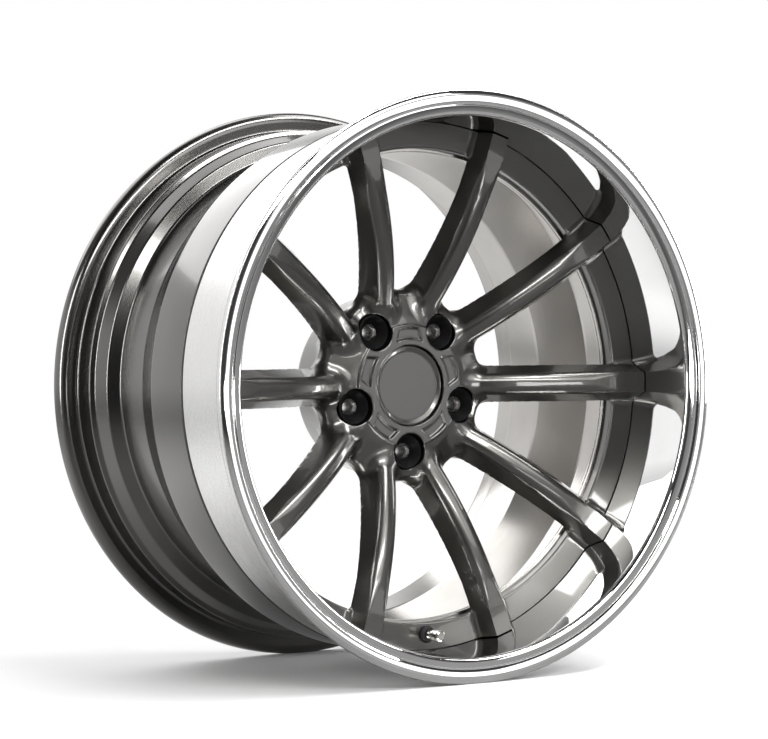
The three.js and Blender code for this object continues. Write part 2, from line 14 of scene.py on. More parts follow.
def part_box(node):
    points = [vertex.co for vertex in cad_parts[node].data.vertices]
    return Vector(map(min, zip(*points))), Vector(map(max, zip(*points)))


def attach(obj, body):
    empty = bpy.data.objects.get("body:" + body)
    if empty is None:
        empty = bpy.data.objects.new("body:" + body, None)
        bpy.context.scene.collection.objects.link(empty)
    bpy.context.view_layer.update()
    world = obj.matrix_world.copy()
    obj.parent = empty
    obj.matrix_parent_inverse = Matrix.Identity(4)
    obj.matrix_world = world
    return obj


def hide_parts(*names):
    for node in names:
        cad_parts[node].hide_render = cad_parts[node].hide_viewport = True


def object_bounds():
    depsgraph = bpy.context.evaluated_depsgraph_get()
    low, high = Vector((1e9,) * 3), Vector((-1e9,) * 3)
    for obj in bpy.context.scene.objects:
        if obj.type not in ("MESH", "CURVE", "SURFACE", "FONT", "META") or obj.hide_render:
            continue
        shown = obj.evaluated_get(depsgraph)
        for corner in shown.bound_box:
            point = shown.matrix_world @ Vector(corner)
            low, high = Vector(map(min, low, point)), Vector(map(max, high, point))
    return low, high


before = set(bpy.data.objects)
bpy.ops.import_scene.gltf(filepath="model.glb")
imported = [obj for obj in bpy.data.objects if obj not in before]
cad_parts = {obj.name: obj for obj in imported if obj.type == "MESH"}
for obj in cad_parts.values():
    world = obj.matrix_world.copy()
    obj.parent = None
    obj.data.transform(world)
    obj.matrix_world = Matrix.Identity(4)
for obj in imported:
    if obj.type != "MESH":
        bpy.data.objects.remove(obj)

CAD_BOX = [list(corner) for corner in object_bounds()]
MM = 0.001

# ---------------- sizes: places read from the frame, and the CAD's own dimensions


def box_mm(node):
    low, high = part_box(node)
    return Vector(low) / MM, Vector(high) / MM


def middle_mm(node):
    low, high = box_mm(node)
    return (low + high) / 2


OUTER_LOW, OUTER_HIGH = box_mm("outer_half")
INNER_LOW, _ = box_mm("inner_half")
CAP_LOW, CAP_HIGH = box_mm("centre_cap")
VALVE = middle_mm("valve_core_pin")
VALVE_AXIS = (VALVE.x, VALVE.z)
VALVE_BASE_Y = middle_mm("valve_base_seal").y
STEM_FOOT = box_mm("valve_stem")[0].z

FIT_GAP = 0.3  # between pieces that touch
WALL = 3.5  # thickness of the rim halves' metal
FLANGE_R = 248.3
FLANGE_FACE = -OUTER_LOW.y
JOINT_FRONT = OUTER_HIGH.y - WALL  # front of the outer half's mounting flange
JOINT_MIDDLE = OUTER_HIGH.y  # its rear, where the inner half's flange meets it
JOINT_REAR = INNER_LOW.y + WALL
BARREL_R = 230.4
LIP_BORE_R = BARREL_R - WALL
FLANGE_BORE_R = 201.5
BEAD_FACE = 133.35
BEAD_SEAT_R = 231.0
FLANGE_CURVE_R = 9.05

WEB_FRONT = -65.8
WEB_REAR = -55.8
WEB_INNER_R = 203.7
WEB_OUTER_R = 226.5
PAD_FACE = box_mm("wheel_centre")[1].y
HUB_FACE = -43.8
BORE_R = 34.2
CAP_SEAT_R = 35.4
CAP_SEAT_END = HUB_FACE + 6.1

SPOKES = 10
LUGS = 5
LUG_CIRCLE_R = 57.15
LUG_BORE_R = 15.8
LUG_START = -90.0  # degrees: the first lug is at the bottom
INSERT_SHELF = -23.7  # where the lug bore narrows to the insert's tail
INSERT_TAIL_R = 12.3
INSERT_TAIL_END = -5.7
STUD_HOLE_R = 8.3
BOLTS = 30
BOLT_CIRCLE_R = 214.5
BOLT_HOLE_R = 4.7
BOLT_HOLE_DEPTH = 7.8
GROMMET_HOLE_R = 6.6

# ---------------- mesh helpers


def new_object(name, mesh, *materials):
    for material in materials:
        mesh.materials.append(material)
    item = bpy.data.objects.new(name, mesh)
    bpy.context.scene.collection.objects.link(item)
    return item


def mesh_from(name, points_mm, faces, sharp_degrees=28.0, slots=None):
    mesh = bpy.data.meshes.new(name)
    mesh.from_pydata([Vector(p) * MM for p in points_mm], [], faces)
    if slots is not None:
        mesh.polygons.foreach_set("material_index", slots)
    mesh.shade_smooth()
    mesh.set_sharp_from_angle(angle=math.radians(sharp_degrees))
    mesh.update()
    return mesh


ARC_STEP = 0.7  # longest piece of an arc
ARC_TURN = math.radians(14)  # and the most that it turns
NEARLY_STRAIGHT = math.radians(89.5)  # half of a corner that needs no arc
LARGEST_TRIM = 0.49  # share of a side that one arc may take


def rounded(corners):
    """Closed outline through corners (r, y, fillet radius), each made into an arc.

    A corner may end with a material slot. Gives the points and, for the stretch that leaves
    each point, its slot.
    """
    points, slots = [], []
    count = len(corners)
    for i, (r, y, radius, *slot) in enumerate(corners):
        slot = slot[0] if slot else 0
        here = np.array((r, y))
        before = np.array(corners[i - 1][:2]) - here
        after = np.array(corners[(i + 1) % count][:2]) - here
        reach_before, reach_after = np.linalg.norm(before), np.linalg.norm(after)
        before, after = before / reach_before, after / reach_after
        half = math.acos(max(-1.0, min(1.0, float(before @ after)))) / 2
        if radius <= 0 or half > NEARLY_STRAIGHT:
            points.append(tuple(here))
            slots.append(slot)
            continue
        trim = min(radius / math.tan(half), LARGEST_TRIM * reach_before, LARGEST_TRIM * reach_after)
        radius = trim * math.tan(half)
        centre = here + (before + after) / np.linalg.norm(before + after) * radius / math.sin(half)
        start, end = here + before * trim - centre, here + after * trim - centre
        turn = math.pi - 2 * half
        steps = max(2, math.ceil(radius * turn / ARC_STEP), math.ceil(turn / ARC_TURN))
        side = math.copysign(1.0, start[0] * end[1] - start[1] * end[0])
        for j in range(steps + 1):
            angle = side * turn * j / steps
            c, s = math.cos(angle), math.sin(angle)
            arm = np.array((c * start[0] - s * start[1], s * start[0] + c * start[1]))
            points.append(tuple(centre + arm))
            slots.append(slot)
    return points, slots


def turned(name, corners, segments, *materials, sharp_degrees=28.0, centre=(0.0, 0.0), axis="Y"):
    """A solid of revolution from a rounded outline. A corner on the axis has r = 0."""
    outline, outline_slots = rounded(corners)
    area = sum(a[0] * b[1] - b[0] * a[1] for a, b in zip(outline, outline[1:] + outline[:1]))
    if area > 0:
        outline.reverse()
        outline_slots = outline_slots[::-1]
        outline_slots = outline_slots[1:] + outline_slots[:1]
    points, rings = [], []
    for r, y in outline:
        if r < 1e-6:
            rings.append([len(points)] * segments)
            points.append((0.0, y, 0.0))
            continue
        rings.append(list(range(len(points), len(points) + segments)))
        for k in range(segments):
            angle = 2 * math.pi * k / segments
            points.append((r * math.cos(angle), y, r * math.sin(angle)))
    faces, slots = [], []
    for i, ring in enumerate(rings):
        following = rings[(i + 1) % len(rings)]
        if ring[0] == ring[-1] and following[0] == following[-1]:
            continue
        for k in range(segments):
            n = (k + 1) % segments
            face = [ring[k], following[k], following[n], ring[n]]
            face = [v for j, v in enumerate(face) if v != face[j - 1]]
            faces.append(face)
            slots.append(outline_slots[i])
    if axis == "Z":  # outline's y runs outward from the axis, toward -Z
        points = [(x, VALVE_BASE_Y + z, -y) for x, y, z in points]
    points = [(x + centre[0], y, z + centre[1]) for x, y, z in points]
    mesh = mesh_from(name, points, faces, sharp_degrees, slots)
    return new_object(name, mesh, *materials)


def settle(item, body, slot, *nodes):
    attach(item, body)
    if nodes:
        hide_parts(*nodes)
    return item


# ---------------- materials


class Nodes:
    """A small hand for building node trees."""

    def __init__(self, tree):
        self.tree = tree

    def add(self, kind, inputs=None, **settings):
        node = self.tree.nodes.new(kind)
        for key, value in settings.items():
            setattr(node, key, value)
        for key, value in (inputs or {}).items():
            self.put(node.inputs[key], value)
        return node

    def put(self, socket, value):
        if isinstance(value, bpy.types.NodeSocket):
            self.tree.links.new(value, socket)
        else:
            socket.default_value = value

    def math(self, operation, a, b=0.0, c=0.0):
        node = self.add("ShaderNodeMath", operation=operation)
        for socket, value in zip(node.inputs, (a, b, c)):
            self.put(socket, value)
        return node.outputs[0]

    def ramp(self, value, *stops, interpolation="LINEAR"):
        node = self.add("ShaderNodeValToRGB", {"Fac": value})
        node.color_ramp.interpolation = interpolation
        while len(node.color_ramp.elements) < len(stops):
            node.color_ramp.elements.new(0.5)
        for element, (place, color) in zip(node.color_ramp.elements, stops):
            element.position = place
            element.color = (*color, 1.0) if isinstance(color, tuple) else (color, color, color, 1.0)
        return node.outputs[0]

    def noise(self, vector, scale, detail=3.0, roughness=0.55):
        inputs = {"Vector": vector, "Scale": scale, "Detail": detail, "Roughness": roughness}
        return self.add("ShaderNodeTexNoise", inputs).outputs["Fac"]

    def bump(self, height, distance, strength):
        inputs = {"Height": height, "Distance": distance, "Strength": strength}
        return self.add("ShaderNodeBump", inputs).outputs["Normal"]


def surface(name, **constants):
    """A material whose Principled shader has these constants on its own sockets.

    Gives the material, its nodes, the shader and the coordinates that textures use.
    """
    material = bpy.data.materials.new(name)
    material.use_nodes = True
    tree = material.node_tree
    tree.nodes.clear()
    nodes = Nodes(tree)
    shader = nodes.add("ShaderNodeBsdfPrincipled")
    for key, value in constants.items():
        shader.inputs[key.replace("_", " ")].default_value = value
    output = nodes.add("ShaderNodeOutputMaterial")
    tree.links.new(shader.outputs[0], output.inputs[0])
    place = nodes.add("ShaderNodeTexCoord").outputs["Object"]
    return material, nodes, shader, place


TURNING_STRETCH = 0.006  # metres of texture for each radian round the axis


def turning_coordinates(nodes, place):
    """Cylinder coordinates about the wheel's axis, stretched round it like turning marks."""
    x, y, z = nodes.add("ShaderNodeSeparateXYZ", {"Vector": place}).outputs
    square = nodes.math("ADD", nodes.math("MULTIPLY", x, x), nodes.math("MULTIPLY", z, z))
    angle = nodes.math("ARCTAN2", z, x)
    inputs = {
        "X": nodes.math("SQRT", square),
        "Y": y,
        "Z": nodes.math("MULTIPLY", angle, TURNING_STRETCH),
    }
    return nodes.add("ShaderNodeCombineXYZ", inputs).outputs[0]


def set_finish(nodes, shader, color, roughness, normal):
    nodes.put(shader.inputs["Base Color"], color)
    nodes.put(shader.inputs["Roughness"], roughness)
    nodes.put(shader.inputs["Normal"], normal)


def clearcoated(name, tones):
    """Smoked paint with fine metal flakes under a gloss clear coat."""
    material, nodes, shader, place = surface(
        name, Metallic=1.0, Coat_Weight=1.0, Coat_Roughness=0.045, Coat_IOR=1.5)
    flake = nodes.add("ShaderNodeTexVoronoi", {"Vector": place, "Scale": 2600.0}).outputs["Color"]
    fleck = nodes.add("ShaderNodeSeparateXYZ", {"Vector": flake}).outputs[0]
    cloud = nodes.noise(place, 9.0, 2.0)
    tone = nodes.math("ADD", nodes.math("MULTIPLY", fleck, 0.25), nodes.math("MULTIPLY", cloud, 0.75))
    color = nodes.ramp(tone, (0.2, tones[0]), (0.8, tones[1]))
    roughness = nodes.math("MULTIPLY_ADD", fleck, 0.03, 0.3)
    set_finish(nodes, shader, color, roughness, nodes.bump(fleck, 0.00001, 0.03))
    ripple = nodes.noise(place, 160.0, 2.0)
    nodes.put(shader.inputs["Coat Normal"], nodes.bump(ripple, 0.00002, 0.02))
    return material


def lathe_turned(name, tones, gloss, marks, haze, relief, brushed=False, **constants):
    """Aluminium off a lathe, slightly clouded in tone, with fine marks round the axis.

    gloss is the least roughness and its spread, marks and haze are settings of their noise,
    and relief is the marks' depth and its strength. A brushed metal takes the direction of its
    Anisotropic gloss from the wheel's axis.
    """
    material, nodes, shader, place = surface(name, Metallic=1.0, **constants)
    lines = nodes.noise(turning_coordinates(nodes, place), *marks)
    cloud = nodes.noise(place, *haze)
    least, spread = gloss
    color = nodes.ramp(cloud, (0.3, tones[0]), (0.7, tones[1]))
    roughness = nodes.math("MULTIPLY_ADD", lines, spread, least)
    set_finish(nodes, shader, color, roughness, nodes.bump(lines, *relief))
    if brushed:
        tangent = nodes.add("ShaderNodeTangent", direction_type="RADIAL", axis="Y").outputs[0]
        nodes.put(shader.inputs["Tangent"], tangent)
    return material


def speckled(name, tones, gloss, scale=300.0, grain=0.00003, **constants):
    """A plain finish with mottled tone, varied gloss and a fine grain."""
    material, nodes, shader, place = surface(name, **constants)
    cloud = nodes.noise(place, scale, 4.0, 0.6)
    fine = nodes.noise(place, scale * 6, 3.0, 0.6)
    least, spread = gloss
    color = nodes.ramp(cloud, (0.3, tones[0]), (0.7, tones[1]))
    roughness = nodes.math("MULTIPLY_ADD", cloud, spread, least)
    set_finish(nodes, shader, color, roughness, nodes.bump(fine, grain, 0.3))
    return material


GUNMETAL = clearcoated("gunmetal_clearcoat", tones=((0.119, 0.116, 0.109), (0.147, 0.143, 0.135)))
POLISHED = lathe_turned(
    "polished_aluminium", tones=((0.86, 0.86, 0.855), (0.93, 0.93, 0.925)), gloss=(0.02, 0.03),
    marks=(900.0, 4.0, 0.7), haze=(14.0, 4.0), relief=(0.00002, 0.02))
MACHINED = lathe_turned(
    "machined_aluminium", tones=((0.70, 0.695, 0.685), (0.80, 0.795, 0.785)), gloss=(0.2, 0.14),
    marks=(1500.0, 5.0, 0.75), haze=(7.0, 3.0), relief=(0.00003, 0.03),
    brushed=True, Anisotropic=0.45)
SATIN = lathe_turned(
    "satin_aluminium", tones=((0.42, 0.405, 0.385), (0.52, 0.505, 0.485)), gloss=(0.12, 0.1),
    marks=(1200.0, 5.0, 0.75), haze=(10.0, 4.0), relief=(0.00003, 0.03),
    brushed=True, Anisotropic=0.35)
SMOKED = lathe_turned(
    "smoked_aluminium", tones=((0.11, 0.107, 0.102), (0.155, 0.151, 0.144)), gloss=(0.17, 0.09),
    marks=(1000.0, 4.0, 0.7), haze=(6.0, 3.0), relief=(0.00005, 0.05),
    Coat_Weight=0.8, Coat_Roughness=0.08, Coat_IOR=1.5)
# Near black: the sealing bead's own colour, and painted shade in the lip's groove beside the centre's
# edge.
SEALANT_AND_SHADE_PAINT = speckled(
    "grey_sealant", tones=((0.016, 0.016, 0.018), (0.03, 0.03, 0.034)), gloss=(0.45, 0.2),
    grain=0.0001)
ZINC = speckled(
    "zinc_plated_steel", tones=((0.5, 0.5, 0.49), (0.66, 0.66, 0.66)), gloss=(0.2, 0.2),
    scale=260.0, Metallic=1.0)
BLACK_STEEL = speckled(
    "black_oxide_steel", tones=(0.003, 0.007), gloss=(0.42, 0.15), Specular_IOR_Level=0.15)
# Near black on the lug bores' walls in the centre: painted shade in the deep holes.
BORE_SHADE_PAINT = speckled(
    "painted_bore_shade", tones=(0.003, 0.006), gloss=(0.42, 0.15), Specular_IOR_Level=0.15)
BRIGHT_STEEL = speckled(
    "bright_turned_steel", tones=((0.82, 0.81, 0.79), (0.92, 0.91, 0.89)), gloss=(0.14, 0.1),
    grain=0.00002, Metallic=1.0)
RUBBER = speckled(
    "black_rubber", tones=(0.008, 0.02), gloss=(0.6, 0.2), scale=500.0, grain=0.00008)
NICKEL = speckled(
    "nickel_plated_brass", tones=((0.6, 0.585, 0.55), (0.72, 0.7, 0.66)), gloss=(0.13, 0.14),
    Metallic=1.0)
BRASS = speckled(
    "brass", tones=((0.55, 0.37, 0.14), (0.68, 0.48, 0.2)), gloss=(0.25, 0.15),
    Metallic=1.0)

# ---------------- wheel centre: its shape as a distance

RIDGE_TIP = -83.5  # y of a spoke's top at the web's outer edge
RIDGE_DROP = 47.3  # how far the top falls back toward the hub
RIDGE_DROP_R = 60.0
RIDGE_POWER = 2.33
EDGE_HALF_HUB = 7.4  # half width of the top strip, its shoulders unrounded
EDGE_HALF_TIP = 8.5
SHOULDER_HUB = 5.4  # the shoulders' radius
SHOULDER_TIP = 0.0
FACET_START = 172.0  # the flat facet at a spoke's outer end widens from here
FACET_END = 202.0
DEPTH_HUB = 27.0  # a spoke's depth under its top
DEPTH_TIP = 17.0
DEPTH_START = 75.0
DEPTH_LENGTH = 100.0
BASE_HALF = 16.2  # half width at that depth
BACK_RUN = 5.2  # the chamfer behind it
BACK_DEPTH = 6.0
SPOKE_ROOT_R = 58.0  # a spoke starts inside the hub here

HUB_DISC_R = 53.2
HUB_RIM_R = 84.5
HUB_RIM_Y = -30.5
HUB_RIM_ROUND = 7.0
VALLEY_FILLET = 13.0
ROOT_FILLET = 10.0
WEB_FILLET = 4.5
TIP_GAP = 0.5  # how far the spokes' ends stand off the lip
TIP_GAP_RUN = 3.0  # and the height over which the gap opens
LUG_EDGE_ROUND = 1.1
HUB_SLOPE = ((82.0, -32.5), (55.0, -42.4))
HUB_SHELF = -42.4  # where the slope stops under the raised disc
PAD_R = 77.7
PAD_EDGE_ROUND = 1.0
HUB_SHELF_ROUND = 2.0
DISC_EDGE_ROUND = 0.9
DISC_FILLET = 1.2
WEB_EDGE_ROUND = 1.8
BORE_EDGE_ROUND = 0.4
FLANGE_CLEARANCE = 4.0  # cut from the spokes inside the mounting flanges
VALVE_HOLE_REACH = 5.0  # the valve's hole starts this far in front of the web

POCKET_R = (39.8, 51.0)  # inner and outer edge
POCKET_HALF = (13.8, 10.6)  # half width at each of them
POCKET_DRAFT = 0.55
POCKET_INNER_ROUND = 1.5
POCKET_OUTER_ROUND = 2.0
POCKET_FLOOR_ROUND = 0.8
POCKET_EDGE_ROUND = 0.7
POCKET_FLOOR = HUB_FACE + 2.6


def round_max(a, b, radius):
    """Distance from what two solids share, with the edge rounded."""
    corner = np.hypot(np.maximum(a + radius, 0), np.maximum(b + radius, 0))
    return np.minimum(np.maximum(a, b), -radius) + corner


def round_min(a, b, radius):
    """Distance from two solids joined, with a fillet in the corner."""
    corner = np.hypot(np.maximum(radius - a, 0), np.maximum(radius - b, 0))
    return np.maximum(np.minimum(a, b), radius) - corner


def blend(a, b, share):
    return a + (b - a) * np.clip(share, 0.0, 1.0)


def beyond_line(r, y, start, end):
    """Distance from the line through two points of an (r, y) outline, positive on its left."""
    dr, dy = end[0] - start[0], end[1] - start[1]
    return (dr * (y - start[1]) - dy * (r - start[0])) / math.hypot(dr, dy)


def spoke_distance(along, across, y):
    """Distance from one spoke, along and across its middle line, across never negative."""
    rise = np.maximum(WEB_OUTER_R - along, 0.0) / (WEB_OUTER_R - RIDGE_DROP_R)
    top = RIDGE_TIP + RIDGE_DROP * rise ** RIDGE_POWER
    slope = RIDGE_DROP * RIDGE_POWER * rise ** (RIDGE_POWER - 1) / (WEB_OUTER_R - RIDGE_DROP_R)
    facet = (along - FACET_START) / (FACET_END - FACET_START)
    edge = blend(EDGE_HALF_HUB, EDGE_HALF_TIP, facet)
    depth = blend(DEPTH_HUB, DEPTH_TIP, (along - DEPTH_START) / DEPTH_LENGTH)
    draft = (BASE_HALF - edge) / depth
    tilt = np.sqrt(1 + slope * slope)
    above = (top - y) / tilt
    beside = (across - edge - draft * (y - top)) / np.sqrt(1 + draft * draft)
    body = round_max(above, beside, blend(SHOULDER_HUB, SHOULDER_TIP, facet))
    behind = (y - top - depth - BACK_DEPTH) / tilt
    chamfer = beyond_line(across, y - top - depth, (BASE_HALF, 0.0), (BASE_HALF - BACK_RUN, BACK_DEPTH))
    body = np.maximum(np.maximum(body, -chamfer), behind)
    return np.maximum(body, SPOKE_ROOT_R - along)


def hub_cone_distance(r, y):
    """Distance from the hub behind its raised disc: a cone that narrows to the rear pad."""
    side = -beyond_line(r, y, (HUB_RIM_R, HUB_RIM_Y), (PAD_R, PAD_FACE))
    slope = beyond_line(r, y, *HUB_SLOPE)
    cone = round_max(side, slope, HUB_RIM_ROUND)
    cone = round_max(cone, HUB_SHELF - y, HUB_SHELF_ROUND)
    return round_max(cone, y - PAD_FACE, PAD_EDGE_ROUND)


def lug_distance(x, z, y):
    """Distance from the nearest lug bore: socket, tail and stud hole."""
    away = np.hypot(x - LUG_CIRCLE_R, z)
    socket = np.maximum(away - LUG_BORE_R, y - INSERT_SHELF)
    tail = np.maximum(away - INSERT_TAIL_R, y - INSERT_TAIL_END)
    return np.minimum(np.minimum(socket, tail), away - STUD_HOLE_R)


def pocket_distance(r, across, y):
    """Distance from a pocket in the hub's face, which narrows outward and with depth."""
    share = (r - POCKET_R[0]) / (POCKET_R[1] - POCKET_R[0])
    wide = np.abs(across) - (POCKET_HALF[0] + (POCKET_HALF[1] - POCKET_HALF[0]) * share)
    outline = round_max(wide, r - POCKET_R[1], POCKET_OUTER_ROUND)
    outline = round_max(outline, POCKET_R[0] - r, POCKET_INNER_ROUND)
    outline = outline + POCKET_DRAFT * (y - HUB_FACE)
    return round_max(outline, y - POCKET_FLOOR, POCKET_FLOOR_ROUND)


def fold(x, z, count, start_degrees):
    """The point turned into the sector about the nearest of evenly spaced directions.

    Gives its radius, its place along and across that direction, and its angle from it.
    """
    pitch = 2 * math.pi / count
    start = math.radians(start_degrees)
    angle = np.arctan2(z, x) - start
    angle = angle - np.round(angle / pitch) * pitch
    r = np.hypot(x, z)
    return r, r * np.cos(angle), r * np.sin(angle), angle


def centre_distance(x, y, z):
    """Distance from the forged centre's surface, negative inside the metal."""
    r, along, across, angle = fold(x, z, SPOKES, 0.0)
    pitch = 2 * math.pi / SPOKES
    nearest = spoke_distance(along, np.abs(across), y)
    turn = np.abs(angle) - pitch
    neighbour = spoke_distance(r * np.cos(turn), np.abs(r * np.sin(turn)), y)
    spokes = round_min(nearest, neighbour, VALLEY_FILLET)
    body = round_min(spokes, hub_cone_distance(r, y), ROOT_FILLET)
    disc = round_max(r - HUB_DISC_R, HUB_FACE - y, DISC_EDGE_ROUND)
    body = round_min(body, np.maximum(disc, y), DISC_FILLET)
    web = round_max(WEB_INNER_R - r, WEB_FRONT - y, WEB_EDGE_ROUND)
    web = np.maximum(web, y - WEB_REAR)
    body = round_min(body, web, WEB_FILLET)
    body = np.maximum(body, -np.maximum(WEB_INNER_R - FLANGE_CLEARANCE - r, WEB_REAR - y))
    standoff = TIP_GAP * np.clip((WEB_FRONT - y) / TIP_GAP_RUN, 0.0, 1.0)
    body = np.maximum(body, r - WEB_OUTER_R + standoff)

    body = round_max(body, BORE_R - r, BORE_EDGE_ROUND)
    cap_seat = np.maximum(r - CAP_SEAT_R, y - CAP_SEAT_END)
    body = round_max(body, -cap_seat, BORE_EDGE_ROUND)
    _, lug_x, lug_z, _ = fold(x, z, LUGS, LUG_START)
    body = round_max(body, -lug_distance(lug_x, lug_z, y), LUG_EDGE_ROUND)
    _, _, pocket_z, _ = fold(x, z, LUGS, LUG_START + 180.0 / LUGS)
    body = round_max(body, -pocket_distance(r, pocket_z, y), POCKET_EDGE_ROUND)
    _, bolt_x, bolt_z, _ = fold(x, z, BOLTS, 0.0)
    bolt = np.hypot(bolt_x - BOLT_CIRCLE_R, bolt_z) - BOLT_HOLE_R
    body = np.maximum(body, -np.maximum(bolt, WEB_REAR - BOLT_HOLE_DEPTH - y))
    valve = np.hypot(x - VALVE.x, z - VALVE.z) - GROMMET_HOLE_R
    return np.maximum(body, -np.maximum(valve, WEB_FRONT - VALVE_HOLE_REACH - y))


GRADIENT_REACH = 0.04


def gradient(distance, points):
    """Unit vectors along which the distance grows fastest."""
    out = np.empty_like(points)
    for axis in range(3):
        step = np.zeros(3)
        step[axis] = GRADIENT_REACH
        ahead, back = points + step, points - step
        out[:, axis] = distance(*ahead.T) - distance(*back.T)
    length = np.linalg.norm(out, axis=1, keepdims=True)
    return out / np.maximum(length, 1e-9)


# ---------------- wheel centre: its skin

# Stretches of grid lines (start, end, step), finest where the shape has edges.
GRID_RADII = (
    (BORE_R - 0.8, 76, 1.2),  # bore, pockets and lugs
    (76, 94, 2.0),
    (94, 198, 4.0),  # along the spokes
    (198, 208, 1.3),  # the web's inner edge
    (208, WEB_OUTER_R + 0.9, 1.9),
)
GRID_HEIGHTS = (
    (-85.6, -67, 1.4),  # the spokes' ends
    (-67, -55, 1.0),  # the web
    (-55, -49, 1.6),
    (-49, -35, 1.2),  # the hub's face
    (-35, 3, 1.9),
    (3, PAD_FACE + 1.4, 3.8),
)
GRID_STEPS = 66  # angular steps for each spoke
MOMENTS = 10  # columns of a cell's sums, before its crossings' places
COUNT = 9  # the column that counts the crossings
PULL = 0.01  # how strongly a corner is drawn to its crossings' middle
SMOOTH_DEGREES = 24  # normals that differ by less are shared
TOWARD_MIDDLE = 0.3  # where in a face its own normals are taken


def graded(stretches, coarse):
    lines = [np.linspace(a, b, max(1, round((b - a) / (step * coarse))), endpoint=False)
             for a, b, step in stretches]
    return np.concatenate([*lines, [stretches[-1][1]]])


def cylinder_point(r, angle, y):
    return np.stack((r * np.cos(angle), y, r * np.sin(angle)), axis=-1)


def edge_crossings(values, axis, radii, angles, heights):
    """The grid's edges along one axis that the surface cuts: their first ends, and the cuts."""
    if axis == 1:  # the angles close on themselves
        here, other = values, np.roll(values, -1, 1)
    else:
        here = values[tuple(slice(None, -1) if n == axis else slice(None) for n in range(3))]
        other = values[tuple(slice(1, None) if n == axis else slice(None) for n in range(3))]
    i, j, k = np.nonzero((here < 0) ^ (other < 0))
    share = here[i, j, k] / (here[i, j, k] - other[i, j, k])
    r, angle, y = radii[i], angles[j], heights[k]
    if axis == 0:
        r = r + share * (radii[i + 1] - r)
    elif axis == 1:
        angle = angle + share * (angles[1] - angles[0])
    else:
        y = y + share * (heights[k + 1] - y)
    return (i, j, k), cylinder_point(r, angle, y)


def cells_round(place, axis, cells):
    """Numbers of the four cells round each edge, in order, with -1 outside the grid."""
    first, second = (n for n in range(3) if n != axis)
    ring = []
    for first_step, second_step in ((-1, -1), (-1, 0), (0, 0), (0, -1)):
        cell = list(place)
        cell[first] = cell[first] + first_step
        cell[second] = cell[second] + second_step
        i, j, k = cell[0], cell[1] % cells[1], cell[2]
        good = (i >= 0) & (i < cells[0]) & (k >= 0) & (k < cells[2])
        ring.append(np.where(good, (i * cells[1] + j) * cells[2] + k, -1))
    return ring


def crossing_sums(distance, crossing):
    """What each crossing adds to the sums of its cells: its tangent plane and its place."""
    normal = gradient(distance, crossing)
    crossing = crossing - normal * distance(*crossing.T)[:, None]
    offset = np.einsum("ij,ij->i", normal, crossing)
    nx, ny, nz = normal.T
    plane = np.stack((nx * nx, nx * ny, nx * nz, ny * ny, ny * nz, nz * nz,
                      nx * offset, ny * offset, nz * offset, np.ones_like(offset)), axis=1)
    return np.hstack((plane, crossing))


def best_corners(sums):
    """The point nearest to all tangent planes of each cell, drawn a little to their middle."""
    count = sums[:, COUNT]
    middle = sums[:, MOMENTS:] / count[:, None]
    pull = PULL * count
    matrix = np.empty((len(sums), 3, 3))
    upper = ((0, 0), (0, 1), (0, 2), (1, 1), (1, 2), (2, 2))
    for column, (row, other) in enumerate(upper):
        value = sums[:, column] + (pull if row == other else 0.0)
        matrix[:, row, other] = matrix[:, other, row] = value
    target = sums[:, 6:COUNT] + pull[:, None] * middle
    return np.linalg.solve(matrix, target[:, :, None])[:, :, 0]


def contour(distance, radii, angles, heights):
    """Dual contouring on a grid of cylinder coordinates that closes on itself round the axis."""
    grid_r, grid_a, grid_y = np.meshgrid(radii, angles, heights, indexing="ij")
    places = cylinder_point(grid_r, grid_a, grid_y).reshape(-1, 3)
    values = distance(*places.T).reshape(grid_r.shape)
    cells = (len(radii) - 1, len(angles), len(heights) - 1)
    sums = np.zeros((math.prod(cells), MOMENTS + 3))
    links = []
    for axis in range(3):
        place, crossing = edge_crossings(values, axis, radii, angles, heights)
        added = crossing_sums(distance, crossing)
        ring = cells_round(place, axis, cells)
        for cell in ring:
            good = cell >= 0
            for column in range(MOMENTS + 3):
                total = np.bincount(cell[good], added[good, column], minlength=len(sums))
                sums[:, column] += total
        links.append(np.stack(ring, axis=1))
    active = np.nonzero(sums[:, COUNT] > 0)[0]
    corner = best_corners(sums[active])
    i = active // (cells[1] * cells[2])
    j = active // cells[2] % cells[1]
    k = active % cells[2]
    r = np.clip(np.hypot(corner[:, 0], corner[:, 2]), radii[i], radii[i + 1])
    turn = np.arctan2(corner[:, 2], corner[:, 0]) - angles[j]
    turn = turn - np.round(turn / (2 * math.pi)) * 2 * math.pi
    y = np.clip(corner[:, 1], heights[k], heights[k + 1])
    points = cylinder_point(r, angles[j] + np.clip(turn, 0, angles[1] - angles[0]), y)
    number = np.full(len(sums) + 1, -1)  # a cell numbered -1 reads its last place, which stays -1
    number[active] = np.arange(len(active))
    quads = number[np.concatenate(links)]
    return points, quads[(quads >= 0).all(axis=1)]


def facing(points, quads, distance):
    """The quads, each turned so that it faces out of the solid."""
    a, b, c, d = (points[quads[:, n]] for n in range(4))
    normal = np.cross(c - a, d - b)
    out = gradient(distance, (a + b + c + d) / 4)
    wrong = np.einsum("ij,ij->i", normal, out) < 0
    quads[wrong] = quads[wrong][:, ::-1]
    return quads


def corner_normals(points, quads, distance):
    """The solid's own normals: one at a smooth point, and one for each face along an edge."""
    shared = gradient(distance, points)[quads.ravel()]
    middle = np.repeat(points[quads].mean(axis=1), 4, axis=0)
    near = points[quads.ravel()] * (1 - TOWARD_MIDDLE) + middle * TOWARD_MIDDLE
    own = gradient(distance, near)
    agree = np.einsum("ij,ij->i", shared, own) > math.cos(math.radians(SMOOTH_DEGREES))
    return np.where(agree[:, None], shared, own)


